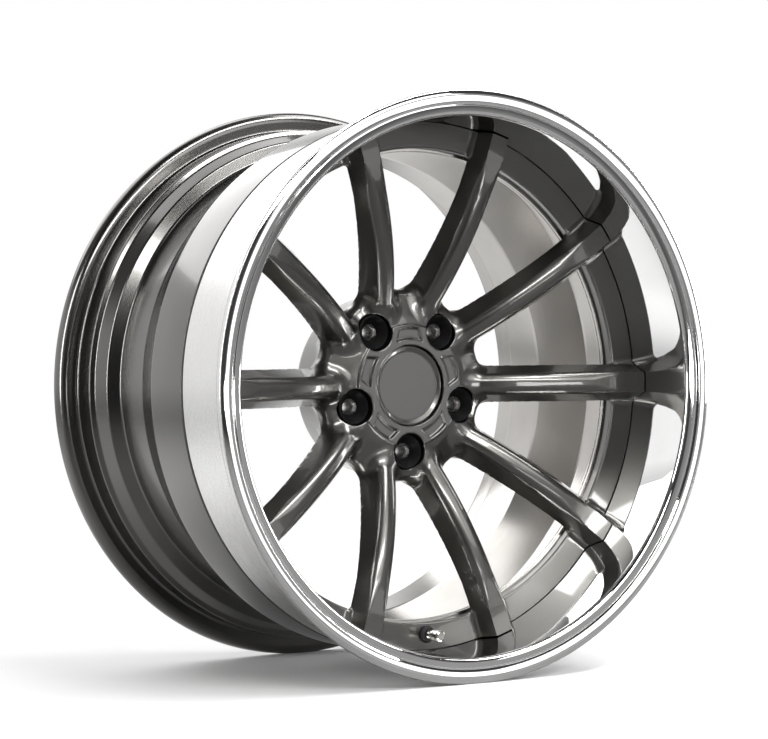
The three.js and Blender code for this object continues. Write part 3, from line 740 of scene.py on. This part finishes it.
def quad_mesh(name, points, quads, normals, slots):
    mesh = bpy.data.meshes.new(name)
    mesh.vertices.add(len(points))
    mesh.vertices.foreach_set("co", (points * MM).astype(np.float32).ravel())
    mesh.loops.add(quads.size)
    mesh.loops.foreach_set("vertex_index", quads.astype(np.int32).ravel())
    mesh.polygons.add(len(quads))
    mesh.polygons.foreach_set("loop_start", np.arange(0, quads.size, 4, dtype=np.int32))
    mesh.polygons.foreach_set("material_index", slots.astype(np.int32))
    mesh.update(calc_edges=True)
    mesh.validate()
    mesh.shade_smooth()
    mesh.normals_split_custom_set(normals.tolist())
    return mesh


def wheel_centre():
    coarse = 1.0
    steps = SPOKES * round(GRID_STEPS / coarse)
    angles = np.arange(steps) * (2 * math.pi / steps)
    points, quads = contour(
        centre_distance, graded(GRID_RADII, coarse), angles, graded(GRID_HEIGHTS, coarse))
    quads = facing(points, quads, centre_distance)
    normals = corner_normals(points, quads, centre_distance)
    x, y, z = points[quads].mean(axis=1).T
    _, lug_x, lug_z, _ = fold(x, z, LUGS, LUG_START)
    # The faces in the lug bores get the near-black second material: painted shade in the deep holes.
    lug_bore_shade_mask = (np.hypot(lug_x - LUG_CIRCLE_R, lug_z) < LUG_BORE_R + 0.1) & (y < PAD_FACE - 1)
    mesh = quad_mesh("forged_centre", points, quads, normals, lug_bore_shade_mask)
    item = new_object("forged_centre", mesh, GUNMETAL, BORE_SHADE_PAINT)
    return settle(item, "wheel", "gunmetal_clearcoat", "wheel_centre")


# ---------------- rim halves

LATHE_SEGMENTS = 288
SEAM_GROOVE = 0.6  # relief in the lip beside the centre's edge
SEAM_RISE = 0.8  # the slope from the groove to the polished bore
FLANGE_CURVE_START = 0.12  # radians from the flange's edge
FLANGE_CURVE_POINTS = 9
HUMP_R = 230.9
WELL_R = 210.0  # the drop centre, for the tyre's bead
STEP_R = 221.0  # the step between the well and the rear bead seat
STEP_BORE_R = 226.6
JOINT_CHAMFER = 1.8  # at the halves' edges, for the sealing bead
FLANGE_EDGE_ROUND = 0.6
WELL_ROUND = 12.0


def flange_corners(side, inside, outside):
    """From the lip's bore round the tyre flange to the bead seat's hump. side is -1 in front."""
    curve_y = BEAD_FACE + FLANGE_CURVE_R
    corners = [
        (LIP_BORE_R - FIT_GAP, BEAD_FACE - 5.0, 0.0, inside),
        (LIP_BORE_R - FIT_GAP, FLANGE_FACE - 3.6, 5.0, inside),
        (FLANGE_R - 13.6, FLANGE_FACE - 1.7, 0.5, inside),  # a fine step round the lip
        (FLANGE_R - 12.4, FLANGE_FACE - 2.1, 0.5, inside),
        (FLANGE_R - 10.6, FLANGE_FACE - 0.6, 1.2, inside),
        (FLANGE_R - 4.2, FLANGE_FACE, 2.2, inside),  # the flange's face
        (FLANGE_R, FLANGE_FACE - 1.6, 1.6, outside),  # and its edge
    ]
    for angle in np.linspace(FLANGE_CURVE_START, math.pi / 2, FLANGE_CURVE_POINTS):
        r = FLANGE_R - FLANGE_CURVE_R + FLANGE_CURVE_R * math.cos(angle)
        corners.append((r, curve_y - FLANGE_CURVE_R * math.sin(angle), 0.0, outside))
    corners += [
        (BEAD_SEAT_R, BEAD_FACE, 2.5, outside),  # the bead seat
        (HUMP_R - 1.4, BEAD_FACE - 17.0, 3.0, outside),
        (HUMP_R, BEAD_FACE - 20.0, 2.0, outside),  # and its hump
        (HUMP_R, BEAD_FACE - 22.0, 2.0, outside),
    ]
    return [(r, side * y, radius, slot) for r, y, radius, slot in corners]


def outer_lip():
    mirror, outside, groove, cut = range(4)
    groove_r = LIP_BORE_R + SEAM_GROOVE
    corners = [
        (FLANGE_BORE_R, JOINT_FRONT, FLANGE_EDGE_ROUND, cut),
        # The groove's stretch takes the near-black sealant material: painted shade in the seam beside the
        # centre's edge.
        (groove_r, JOINT_FRONT, 0.3, groove),
        (groove_r, WEB_FRONT - 0.6, 0.3, groove),
        (LIP_BORE_R, WEB_FRONT - 0.6 - SEAM_RISE, 0.3, mirror),
        *flange_corners(-1, mirror, outside),
        (BARREL_R, -BEAD_FACE + 25, 2.0, outside),
        (BARREL_R, JOINT_MIDDLE - JOINT_CHAMFER, 0.2, outside),
        (BARREL_R - JOINT_CHAMFER, JOINT_MIDDLE, 0.2, outside),
        (FLANGE_BORE_R, JOINT_MIDDLE, FLANGE_EDGE_ROUND, cut),
    ]
    item = turned("polished_lip", corners, LATHE_SEGMENTS, POLISHED, MACHINED, SEALANT_AND_SHADE_PAINT, SATIN)
    return settle(item, "wheel", "polished_aluminium", "outer_half")


def inner_barrel():
    outside, inside = range(2)
    front = JOINT_MIDDLE + FIT_GAP
    corners = [
        (FLANGE_BORE_R, front, FLANGE_EDGE_ROUND, inside),
        (FLANGE_BORE_R, JOINT_REAR, FLANGE_EDGE_ROUND, inside),
        (LIP_BORE_R, JOINT_REAR, 4.0, inside),
        (LIP_BORE_R, 0.0, WELL_ROUND, inside),  # along the bore, front to rear
        (WELL_R - WALL, 51.0, WELL_ROUND, inside),
        (WELL_R - WALL, 93.5, 3.0, inside),
        (STEP_R - WALL, 99.0, 3.0, inside),
        (STEP_BORE_R, 112.0, 4.0, inside),
        *flange_corners(1, inside, outside),
        (226.5, BEAD_FACE - 24.0, 3.0, outside),  # back along the outside
        (STEP_R, 97.0, 3.0, outside),
        (WELL_R, 92.5, 3.0, outside),
        (WELL_R, 52.0, WELL_ROUND, outside),
        (BARREL_R, 1.0, WELL_ROUND, outside),
        (BARREL_R, front + JOINT_CHAMFER, 0.2, outside),
        (BARREL_R - JOINT_CHAMFER, front, 0.2, inside),
    ]
    item = turned("stepped_barrel", corners, LATHE_SEGMENTS, SMOKED, SATIN)
    return settle(item, "wheel", "smoked_aluminium", "inner_half")


# ---------------- lofted pieces

ROUND = 48  # points in a ring


def lofted(name, rings, *materials, closed=False):
    """Skin over rings of equal length. The ends are closed unless the last ring joins the first."""
    size = len(rings[0])
    points = [p for ring in rings for p in ring]
    faces = []
    for i in range(len(rings) if closed else len(rings) - 1):
        a, b = i * size, (i + 1) % len(rings) * size
        for j in range(size):
            n = (j + 1) % size
            faces.append([a + j, a + n, b + n, b + j])
    volume = sum(np.dot(points[f[0]], np.cross(points[f[1]], points[f[2]])) for f in faces)
    if not closed:
        last = (len(rings) - 1) * size
        faces.append(list(range(size))[::-1])
        faces.append([last + j for j in range(size)])
    if volume < 0:
        faces = [f[::-1] for f in faces]
    return new_object(name, mesh_from(name, points, faces), *materials)


def circle_at(radius, y, centre, shape=None):
    """Ring of points about an axis along Y. shape gives the radius's factor at each angle."""
    ring = []
    for k in range(ROUND):
        angle = 2 * math.pi * k / ROUND
        r = radius * (shape(angle) if shape else 1.0)
        ring.append((centre[0] + r * math.cos(angle), y, centre[1] + r * math.sin(angle)))
    return ring


def rings_at(profile, centre):
    """Rings about an axis along Y from (radius, y), and a shape where it isn't round."""
    return [circle_at(radius, y, centre, *shape) for radius, y, *shape in profile]


def off_point(angle, count):
    """How far an angle is from the nearest of evenly spaced directions."""
    pitch = 2 * math.pi / count
    return abs((angle + pitch / 2) % pitch - pitch / 2)


POINT_FALL = 0.55  # share of the radius lost for each radian away from a point


def twelve_point(angle):
    return 1.0 - POINT_FALL * off_point(angle, 12)


def hexagon(angle):
    """Six flats, as a share of the radius to their corners."""
    half = math.pi / 6
    return math.cos(half) / math.cos(half - off_point(angle, 6))


# ---------------- fasteners, inserts and seal

BOLT_HEAD = 8.0
BOLT_SHANK_R = 4.0
BOLT_THREAD_DEPTH = 0.32
BOLT_THREAD_PITCH = 1.25
BOLT_THREAD_RIDGES = 9
BOLT_FLANGE_R = 6.6
BOLT_POINTS_R = 5.9
BOLT_RECESS_R = 3.4

INSERT_MOUTH_R = 13.6
INSERT_BORE_R = 7.2
INSERT_CONE_DEPTH = 1.15  # for each millimetre that the cone narrows

SEAL_DEPTH = 1.3
SEAL_HALF_WIDTH = 1.1


def bolt_profile(end, seat, top):
    """The rings from the thread's end to the recess in the head."""
    root = BOLT_SHANK_R - BOLT_THREAD_DEPTH
    profile = [(BOLT_SHANK_R - 1.0, end), (BOLT_SHANK_R - 0.2, end + 0.8)]
    for ridge in range(BOLT_THREAD_RIDGES):
        y = end + 1.2 + ridge * BOLT_THREAD_PITCH
        profile += [(root, y), (BOLT_SHANK_R, y + 0.6)]
    return profile + [
        (root, seat - 1.6), (BOLT_SHANK_R, seat - 1.2), (BOLT_SHANK_R, seat),
        (BOLT_FLANGE_R - 0.2, seat), (BOLT_FLANGE_R, seat + 0.3),
        (BOLT_FLANGE_R, seat + 1.3), (BOLT_FLANGE_R - 0.3, seat + 1.8),
        (BOLT_POINTS_R, seat + 2.1, twelve_point), (BOLT_POINTS_R, seat + 7.0, twelve_point),
        (BOLT_POINTS_R - 0.7, top, twelve_point),
        (BOLT_RECESS_R, top), (BOLT_RECESS_R - 0.5, top - 1.2),
    ]


def assembly_bolts():
    """Thirty twelve-point bolts behind the flanges, all sharing one mesh."""
    shared = None
    for n in range(BOLTS):
        node = f"assembly_bolt_{n + 1:02d}"
        low, high = box_mm(node)
        place = ((low.x + high.x) / 2, (low.z + high.z) / 2)
        if shared is None:
            first = Vector((place[0], 0.0, place[1]))
            profile = bolt_profile(low.y, high.y - BOLT_HEAD, high.y)
            piece = lofted("bolt_01", rings_at(profile, place), ZINC)
            shared = piece.data
        else:
            piece = bpy.data.objects.new(f"bolt_{n + 1:02d}", shared)
            bpy.context.scene.collection.objects.link(piece)
            piece.location = (Vector((place[0], 0.0, place[1])) - first) * MM
        settle(piece, "wheel", "zinc_plated_steel", node)


def lug_inserts():
    """Five steel seats: black, with a cone for the nut and a bright turned stud bore."""
    black, bright = range(2)
    shelf = INSERT_SHELF - FIT_GAP
    tail = INSERT_TAIL_R - FIT_GAP
    cone = (INSERT_MOUTH_R - INSERT_BORE_R) * INSERT_CONE_DEPTH
    for n in range(LUGS):
        node = f"lug_seat_insert_{n + 1}"
        low, high = box_mm(node)
        place = ((low.x + high.x) / 2, (low.z + high.z) / 2)
        outer = (high.x - low.x) / 2
        corners = [
            (INSERT_MOUTH_R, low.y, 0.3, black),
            (outer, low.y, 0.5, black),
            (outer, shelf, 0.4, black),
            (tail, shelf, 0.4, black),
            (tail, high.y, 0.5, black),
            (INSERT_BORE_R, high.y, 0.5, bright),
            (INSERT_BORE_R, low.y + cone, 0.8, black),
        ]
        piece = turned(f"lug_seat_{n + 1}", corners, 64, BLACK_STEEL, BRIGHT_STEEL, centre=place)
        settle(piece, "wheel", "black_oxide_steel", node)


def rim_seal():
    y = middle_mm("rim_seal").y
    corners = [
        (BARREL_R - SEAL_DEPTH, y, 0.2),
        (BARREL_R - 0.2, y - SEAL_HALF_WIDTH, 0.3),
        (BARREL_R + 0.1, y, 0.8),
        (BARREL_R - 0.2, y + SEAL_HALF_WIDTH, 0.3),
    ]
    piece = turned("sealing_bead", corners, LATHE_SEGMENTS, SEALANT_AND_SHADE_PAINT)
    settle(piece, "wheel", "grey_sealant", "rim_seal")


# ---------------- centre cap

CAP_DISC_Y = -39.6
CAP_DISC_R = 30.2
CAP_WALL = 3.0
CAP_SKIRT_GAP = 0.35
RING_Y = -31.5  # the retaining ring in the skirt
RING_WIRE_R = 1.3
RING_GROOVE = 1.6  # the groove's depth and half width
RING_POINTS = 16


def centre_cap():
    face, skirt_end = CAP_LOW.y, CAP_HIGH.y
    rim = (CAP_HIGH.x - CAP_LOW.x) / 2
    skirt = BORE_R - CAP_SKIRT_GAP
    step = CAP_SEAT_END - FIT_GAP
    groove = skirt - RING_WIRE_R - RING_GROOVE
    corners = [
        (0.0, CAP_DISC_Y + CAP_WALL, 0.0),
        (0.0, CAP_DISC_Y - 0.5, 0.0),
        (CAP_DISC_R - 1.2, CAP_DISC_Y + 0.1, 0.5),
        (CAP_DISC_R, CAP_DISC_Y, 0.4),
        (rim - 1.5, face, 1.6),
        (rim, face + 1.2, 1.0),
        (rim, step, 0.3),
        (skirt, step, 0.0),
        (skirt, RING_Y - RING_GROOVE, 0.2),
        (groove, RING_Y - RING_GROOVE, 0.2),
        (groove, RING_Y + RING_GROOVE, 0.2),
        (skirt, RING_Y + RING_GROOVE, 0.2),
        (skirt, skirt_end, 0.8),
        (skirt - 2 * CAP_WALL, skirt_end, 0.5),
        (skirt - 2 * CAP_WALL, CAP_DISC_Y + CAP_WALL, 1.0),
    ]
    cap = turned("hub_cap", corners, 128, GUNMETAL)
    settle(cap, "cap", "gunmetal_clearcoat", "centre_cap")
    wire = skirt - RING_WIRE_R
    section = [(wire + RING_WIRE_R * math.cos(t), RING_Y + RING_WIRE_R * math.sin(t), 0.0)
               for t in np.linspace(0, 2 * math.pi, RING_POINTS, endpoint=False)]
    ring = turned("hub_cap_ring", section, 96, RUBBER, sharp_degrees=60)
    settle(ring, "cap", "black_rubber", "cap_retaining_ring")


# ---------------- valve

VALVE_TUBE_R = 3.0
VALVE_THREAD_R = 3.8
VALVE_THREAD_PITCH = 0.9
VALVE_THREAD_DEPTH = 0.3
VALVE_THREAD_FLANK = 0.4
VALVE_FOOT_R = 9.5
VALVE_BEND_R = 8.0
VALVE_BEND_STEPS = 10
VALVE_THREAD_START = -70.5  # y of the cap's thread, and of the stem's tip
VALVE_TIP = -83.0
CORE_BORE_R = 2.5
CORE_BORE_END = -60.0
STEM_POINTS = 32
COLLAR_WIDTH = 1.1  # the grommet's, beyond its hole
NUT_CHAMFER = 0.7
NUT_FACE = 0.86  # radius of the nut's faces, as a share of its corners'
CORE_GROOVE = 0.4
CORE_PIN_BORE_R = 1.0
CAP_BORE_R = 4.15
KNURL_DEPTH = 0.045

BEND_START = VALVE.z - VALVE_BEND_R - STEM_FOOT
BEND_LENGTH = VALVE_BEND_R * math.pi / 2


def valve_path(s):
    """Place and direction at a distance along the stem: toward the axis, then round toward -Y."""
    if s <= BEND_START:
        return Vector((VALVE.x, VALVE_BASE_Y, STEM_FOOT + s)), Vector((0, 0, 1))
    if s <= BEND_START + BEND_LENGTH:
        turn = (s - BEND_START) / VALVE_BEND_R
        height = STEM_FOOT + BEND_START + VALVE_BEND_R * math.sin(turn)
        forward = VALVE_BASE_Y - VALVE_BEND_R * (1 - math.cos(turn))
        return Vector((VALVE.x, forward, height)), Vector((0, -math.sin(turn), math.cos(turn)))
    forward = VALVE_BASE_Y - VALVE_BEND_R - (s - BEND_START - BEND_LENGTH)
    return Vector((VALVE.x, forward, STEM_FOOT + BEND_START + VALVE_BEND_R)), Vector((0, -1, 0))


def along_stem(y):
    """Distance along the stem to a place on its front leg."""
    return BEND_START + BEND_LENGTH + VALVE_BASE_Y - VALVE_BEND_R - y


def thread_ridges(start, end):
    """(distance along the stem, radius) of a thread's ridges, the last starting before end."""
    ridges = []
    s = start
    while s < end:
        root = (s + VALVE_THREAD_FLANK, VALVE_THREAD_R - VALVE_THREAD_DEPTH)
        ridges += [(s, VALVE_THREAD_R), root, (s + 2 * VALVE_THREAD_FLANK, VALVE_THREAD_R)]
        s += VALVE_THREAD_PITCH
    return ridges


def valve_stem():
    thread, tip = along_stem(VALVE_THREAD_START), along_stem(VALVE_TIP)
    neck_end = BEND_START - 1.5
    profile = [
        (0.0, VALVE_FOOT_R - 0.7), (0.5, VALVE_FOOT_R), (1.9, VALVE_FOOT_R), (2.4, VALVE_FOOT_R - 0.6),
        (2.4, VALVE_THREAD_R),
        *thread_ridges(4.0, neck_end - 1.0),
        (neck_end, VALVE_THREAD_R), (neck_end + 0.6, VALVE_TUBE_R),
    ]
    profile += [(BEND_START + BEND_LENGTH * k / VALVE_BEND_STEPS, VALVE_TUBE_R)
                for k in range(VALVE_BEND_STEPS + 1)]
    profile += [
        (thread - 0.8, VALVE_TUBE_R), (thread, VALVE_THREAD_R),
        *thread_ridges(thread + 0.8, tip - 1.2),
        (tip - 0.4, VALVE_THREAD_R), (tip, VALVE_THREAD_R - 0.5), (tip, CORE_BORE_R),
        (along_stem(CORE_BORE_END), CORE_BORE_R),
    ]
    across = Vector((1, 0, 0))
    rings = []
    for s, radius in profile:
        place, ahead = valve_path(s)
        up = ahead.cross(across)
        rings.append([tuple(place + radius * (math.cos(t) * across + math.sin(t) * up))
                      for t in np.linspace(0, 2 * math.pi, STEM_POINTS, endpoint=False)])
    settle(lofted("stem", rings, NICKEL), "wheel", "nickel_plated_brass", "valve_stem")


def valve_grommet():
    low, high = box_mm("valve_grommet")
    bore = VALVE_TUBE_R + FIT_GAP
    hole = GROMMET_HOLE_R - FIT_GAP
    collar = hole + COLLAR_WIDTH
    seat = WEB_FRONT - FIT_GAP
    corners = [
        (bore, high.y, 0.3), (hole, high.y, 0.4), (hole, seat, 0.3),
        (collar, seat, 0.4), (collar, seat - 1.3, 1.0),
        (collar - 1.4, low.y, 0.9), (bore, low.y, 0.4),
    ]
    piece = turned("stem_grommet", corners, 48, RUBBER, centre=VALVE_AXIS)
    settle(piece, "wheel", "black_rubber", "valve_grommet")


def valve_base_seal():
    low, high = box_mm("valve_base_seal")
    bore, outer = VALVE_THREAD_R + FIT_GAP, (high.x - low.x) / 2
    corners = [(bore, -high.z, 0.3), (outer, -high.z, 0.5),
               (outer, -low.z, 0.5), (bore, -low.z, 0.3)]
    piece = turned("stem_seal", corners, 48, RUBBER, axis="Z")
    settle(piece, "wheel", "black_rubber", "valve_base_seal")


def valve_nut():
    low, high = box_mm("valve_nut")
    radius, bore = (high.x - low.x) / 2, VALVE_THREAD_R + FIT_GAP
    profile = (
        (bore, low.z), (radius * NUT_FACE, low.z), (radius, low.z + NUT_CHAMFER, hexagon),
        (radius, high.z - NUT_CHAMFER, hexagon), (radius * NUT_FACE, high.z), (bore, high.z),
    )
    rings = []
    for r, z, *shape in profile:
        ring = circle_at(r, 0.0, (0.0, 0.0), *shape)
        rings.append([(x, VALVE_BASE_Y + y, z) for x, _, y in ring])
    piece = lofted("stem_nut", rings, NICKEL, closed=True)
    settle(piece, "wheel", "nickel_plated_brass", "valve_nut")


def valve_core():
    low, high = box_mm("valve_core")
    bore, outer = CORE_PIN_BORE_R, (high.x - low.x) / 2
    waist = outer - CORE_GROOVE
    corners = [
        (bore, low.y, 0.1), (outer, low.y, 0.3), (outer, low.y + 4, 0.1),
        (waist, low.y + 4.4, 0.1), (waist, low.y + 7, 0.1),
        (outer, low.y + 7.6, 0.2), (outer, high.y, 0.3), (bore, high.y, 0.1),
    ]
    piece = turned("core_sleeve", corners, 32, BRASS, centre=VALVE_AXIS)
    settle(piece, "wheel", "brass", "valve_core")


def round_plug(name, node, segments, material):
    """A plain round piece with softened ends, as large as its node."""
    low, high = box_mm(node)
    radius = (high.x - low.x) / 2
    corners = [(0.0, low.y, 0.0), (radius, low.y, 0.3), (radius, high.y, 0.3), (0.0, high.y, 0.0)]
    return turned(name, corners, segments, material, centre=VALVE_AXIS)


def valve_core_pin():
    piece = round_plug("core_pin", "valve_core_pin", 24, BRASS)
    settle(piece, "core_pin", "brass", "valve_core_pin")


def valve_cap_gasket():
    piece = round_plug("stem_cap_gasket", "valve_cap_gasket", 32, RUBBER)
    settle(piece, "valve_cap_seat", "black_rubber", "valve_cap_gasket")


def knurled(angle):
    """Ridges on every second point of a ring."""
    return 1.0 - KNURL_DEPTH * (0.5 + 0.5 * math.cos(angle * ROUND / 2))


def valve_cap():
    low, high = box_mm("valve_cap")
    outer, bore = (high.x - low.x) / 2, CAP_BORE_R
    profile = (
        (outer - 1.5, low.y), (outer - 0.6, low.y + 0.5), (outer - 0.25, low.y + 1.4),
        (outer, low.y + 1.9, knurled), (outer, high.y - 2.0, knurled),
        (outer - 0.25, high.y - 1.6), (outer - 0.1, high.y - 0.3), (outer - 0.4, high.y),
        (bore + 0.2, high.y), (bore, high.y - 0.3), (bore, low.y + 1.3),
    )
    piece = lofted("stem_cap", rings_at(profile, VALVE_AXIS), NICKEL)
    settle(piece, "valve_cap_shell", "nickel_plated_brass", "valve_cap")


# ---------------- stage, lights and camera

CAMERA_AZIMUTH = -33.2334
CAMERA_ELEVATION = -0.2095
CAMERA_ROLL = 0.9643
CAMERA_PLACE = (-1.352094, -2.065333, 0.0047)
CAMERA_LENS = 131.774
CAMERA_SENSOR = 36.0
CAMERA_REACH = (0.05, 100.0)  # metres from its nearest to its farthest sight
WHEEL_SPIN = 1.7013  # how far the camera is turned about the wheel's axis


def make_camera():
    data = bpy.data.cameras.new("camera")
    data.lens, data.sensor_width = CAMERA_LENS, CAMERA_SENSOR
    data.clip_start, data.clip_end = CAMERA_REACH
    camera = bpy.data.objects.new("camera", data)
    bpy.context.scene.collection.objects.link(camera)
    a, e, roll = (math.radians(v) for v in (CAMERA_AZIMUTH, CAMERA_ELEVATION, CAMERA_ROLL))
    back = Vector((math.sin(a) * math.cos(e), -math.cos(a) * math.cos(e), math.sin(e)))
    right = (-back).cross(Vector((0, 0, 1))).normalized()
    up = right.cross(-back)
    turned_right = right * math.cos(roll) + up * math.sin(roll)
    turned_up = up * math.cos(roll) - right * math.sin(roll)
    axes = Matrix((turned_right, turned_up, back)).transposed().to_4x4()
    placed = Matrix.Translation(CAMERA_PLACE) @ axes
    camera.matrix_world = Matrix.Rotation(math.radians(WHEEL_SPIN), 4, "Y") @ placed
    bpy.context.scene.camera = camera


FLOOR_FADE = 2.2  # metres from the wheel where the floor has faded out
FLOOR_SEGMENTS = 96


def make_floor():
    """A pale floor that fades out, with painted shade toward the front where only other rays meet it."""
    material, nodes, shader, place = surface("pale_floor")
    cloud = nodes.noise(place, 3.0, 3.0)
    away = nodes.add("ShaderNodeVectorMath", {0: place}, operation="LENGTH").outputs["Value"]
    faded = nodes.math("DIVIDE", away, FLOOR_FADE)
    cover = nodes.ramp(faded, (0.25, 1.0), (1.0, 0.0), interpolation="EASE")
    nodes.put(shader.inputs["Alpha"], cover)
    pale = nodes.ramp(cloud, (0.3, 0.90), (0.7, 0.92))
    _, y, _ = nodes.add("ShaderNodeSeparateXYZ", {"Vector": place}).outputs
    # Painted shade: the floor darkens toward the front for every ray but the camera's.
    painted_front_shade = nodes.ramp(nodes.math("ADD", y, 0.5), (0.3, 0.17), (0.8, 0.74))
    eye = nodes.add("ShaderNodeLightPath").outputs["Is Camera Ray"]
    mix = nodes.add("ShaderNodeMix", {"Factor": eye, "A": painted_front_shade, "B": pale}, data_type="RGBA")
    nodes.put(shader.inputs["Base Color"], mix.outputs[2])
    nodes.put(shader.inputs["Roughness"], nodes.math("MULTIPLY_ADD", cloud, 0.1, 0.65))
    low = CAD_BOX[0][2]
    points = [(0.0, 0.0, low)]
    points += [(FLOOR_FADE * math.cos(t), FLOOR_FADE * math.sin(t), low)
               for t in (2 * math.pi * n / FLOOR_SEGMENTS for n in range(FLOOR_SEGMENTS))]
    faces = [(0, 1 + n, 1 + (n + 1) % FLOOR_SEGMENTS) for n in range(FLOOR_SEGMENTS)]
    mesh = bpy.data.meshes.new("floor")
    mesh.from_pydata(points, [], faces)
    new_object("floor", mesh, material)


def make_room():
    """The studio's walls as a world: brightness by direction and height, and white to the eye."""
    world = bpy.data.worlds.new("studio")
    bpy.context.scene.world = world
    world.use_nodes = True
    tree = world.node_tree
    tree.nodes.clear()
    nodes = Nodes(tree)
    direction = nodes.add("ShaderNodeTexCoord").outputs["Generated"]
    x, y, height = nodes.add("ShaderNodeSeparateXYZ", {"Vector": direction}).outputs
    rise = nodes.math("MULTIPLY_ADD", height, 0.5, 0.5)
    turn = nodes.math("ARCTAN2", x, nodes.math("MULTIPLY", y, -1.0))
    around = nodes.math("MULTIPLY_ADD", turn, 0.5 / math.pi, 0.5)
    walls = nodes.ramp(around, (0.0, 1.0), (0.2, 1.0), (0.3, 0.5), (0.4, 0.04), (0.5, 0.05), (0.56, 0.34),
                       (0.7, 0.3), (0.82, 1.0), (1.0, 1.0))
    levels = nodes.ramp(rise, (0.0, 0.4), (0.4, 0.3), (0.5, 1.0), (0.66, 1.0), (0.78, 0.15), (1.0, 0.2))
    room = nodes.math("MULTIPLY", walls, levels)
    lit = nodes.add("ShaderNodeBackground", {"Color": room, "Strength": 1.0}).outputs[0]
    white = (1.0, 1.0, 1.0, 1.0)
    seen = nodes.add("ShaderNodeBackground", {"Color": white, "Strength": 1.0}).outputs[0]
    eye = nodes.add("ShaderNodeLightPath").outputs["Is Camera Ray"]
    mix = nodes.add("ShaderNodeMixShader", {0: eye, 1: lit, 2: seen}).outputs[0]
    output = nodes.add("ShaderNodeOutputWorld")
    tree.links.new(mix, output.inputs[0])


WHEEL_MIDDLE = (0, 0, 0)
BEHIND_WHEEL = (0, 0.9, -0.2)

# Name, place and aim in metres, width and height in metres, watts.
LIGHTS = (
    ("top_strip", (0.9, -1.3, 2.5), WHEEL_MIDDLE, (2.6, 0.5), 65),
    ("rear_softbox", (-0.4, 2.5, 2.5), BEHIND_WHEEL, (3.6, 3.0), 80),
    ("left_strip", (-3.0, -0.7, 0.8), WHEEL_MIDDLE, (0.35, 2.2), 40),
    ("front_strip", (-0.5, -3.3, 1.9), WHEEL_MIDDLE, (2.4, 0.45), 60),
    ("right_strip", (2.9, -0.5, 0.8), WHEEL_MIDDLE, (0.4, 2.0), 40),
    ("front_softbox", (1.2, -3.2, 1.8), WHEEL_MIDDLE, (1.8, 1.6), 18),
    ("low_strip", (0.2, -3.2, -0.1), WHEEL_MIDDLE, (1.6, 0.2), 10),
    ("right_softbox", (1.7, 0.1, 2.5), WHEEL_MIDDLE, (1.2, 1.2), 18),
    ("hub_card", (1.88, -2.93, 0.02), WHEEL_MIDDLE, (0.42, 0.5), 0.9),
)


def area_light(name, place, aim, size, power):
    data = bpy.data.lights.new(name, "AREA")
    data.shape, data.size, data.size_y = "RECTANGLE", *size
    data.energy = power
    light = bpy.data.objects.new(name, data)
    light.location = place
    light.rotation_mode = "QUATERNION"
    light.rotation_quaternion = (Vector(aim) - Vector(place)).to_track_quat("-Z", "Y")
    bpy.context.scene.collection.objects.link(light)


def make_studio():
    make_room()
    for light in LIGHTS:
        area_light(*light)
    bpy.context.scene.view_settings.view_transform = "Standard"


make_camera()
make_floor()
make_studio()
wheel_centre()
outer_lip()
inner_barrel()
rim_seal()
assembly_bolts()
lug_inserts()
centre_cap()
valve_stem()
valve_grommet()
valve_base_seal()
valve_nut()
valve_core()
valve_core_pin()
valve_cap_gasket()
valve_cap()
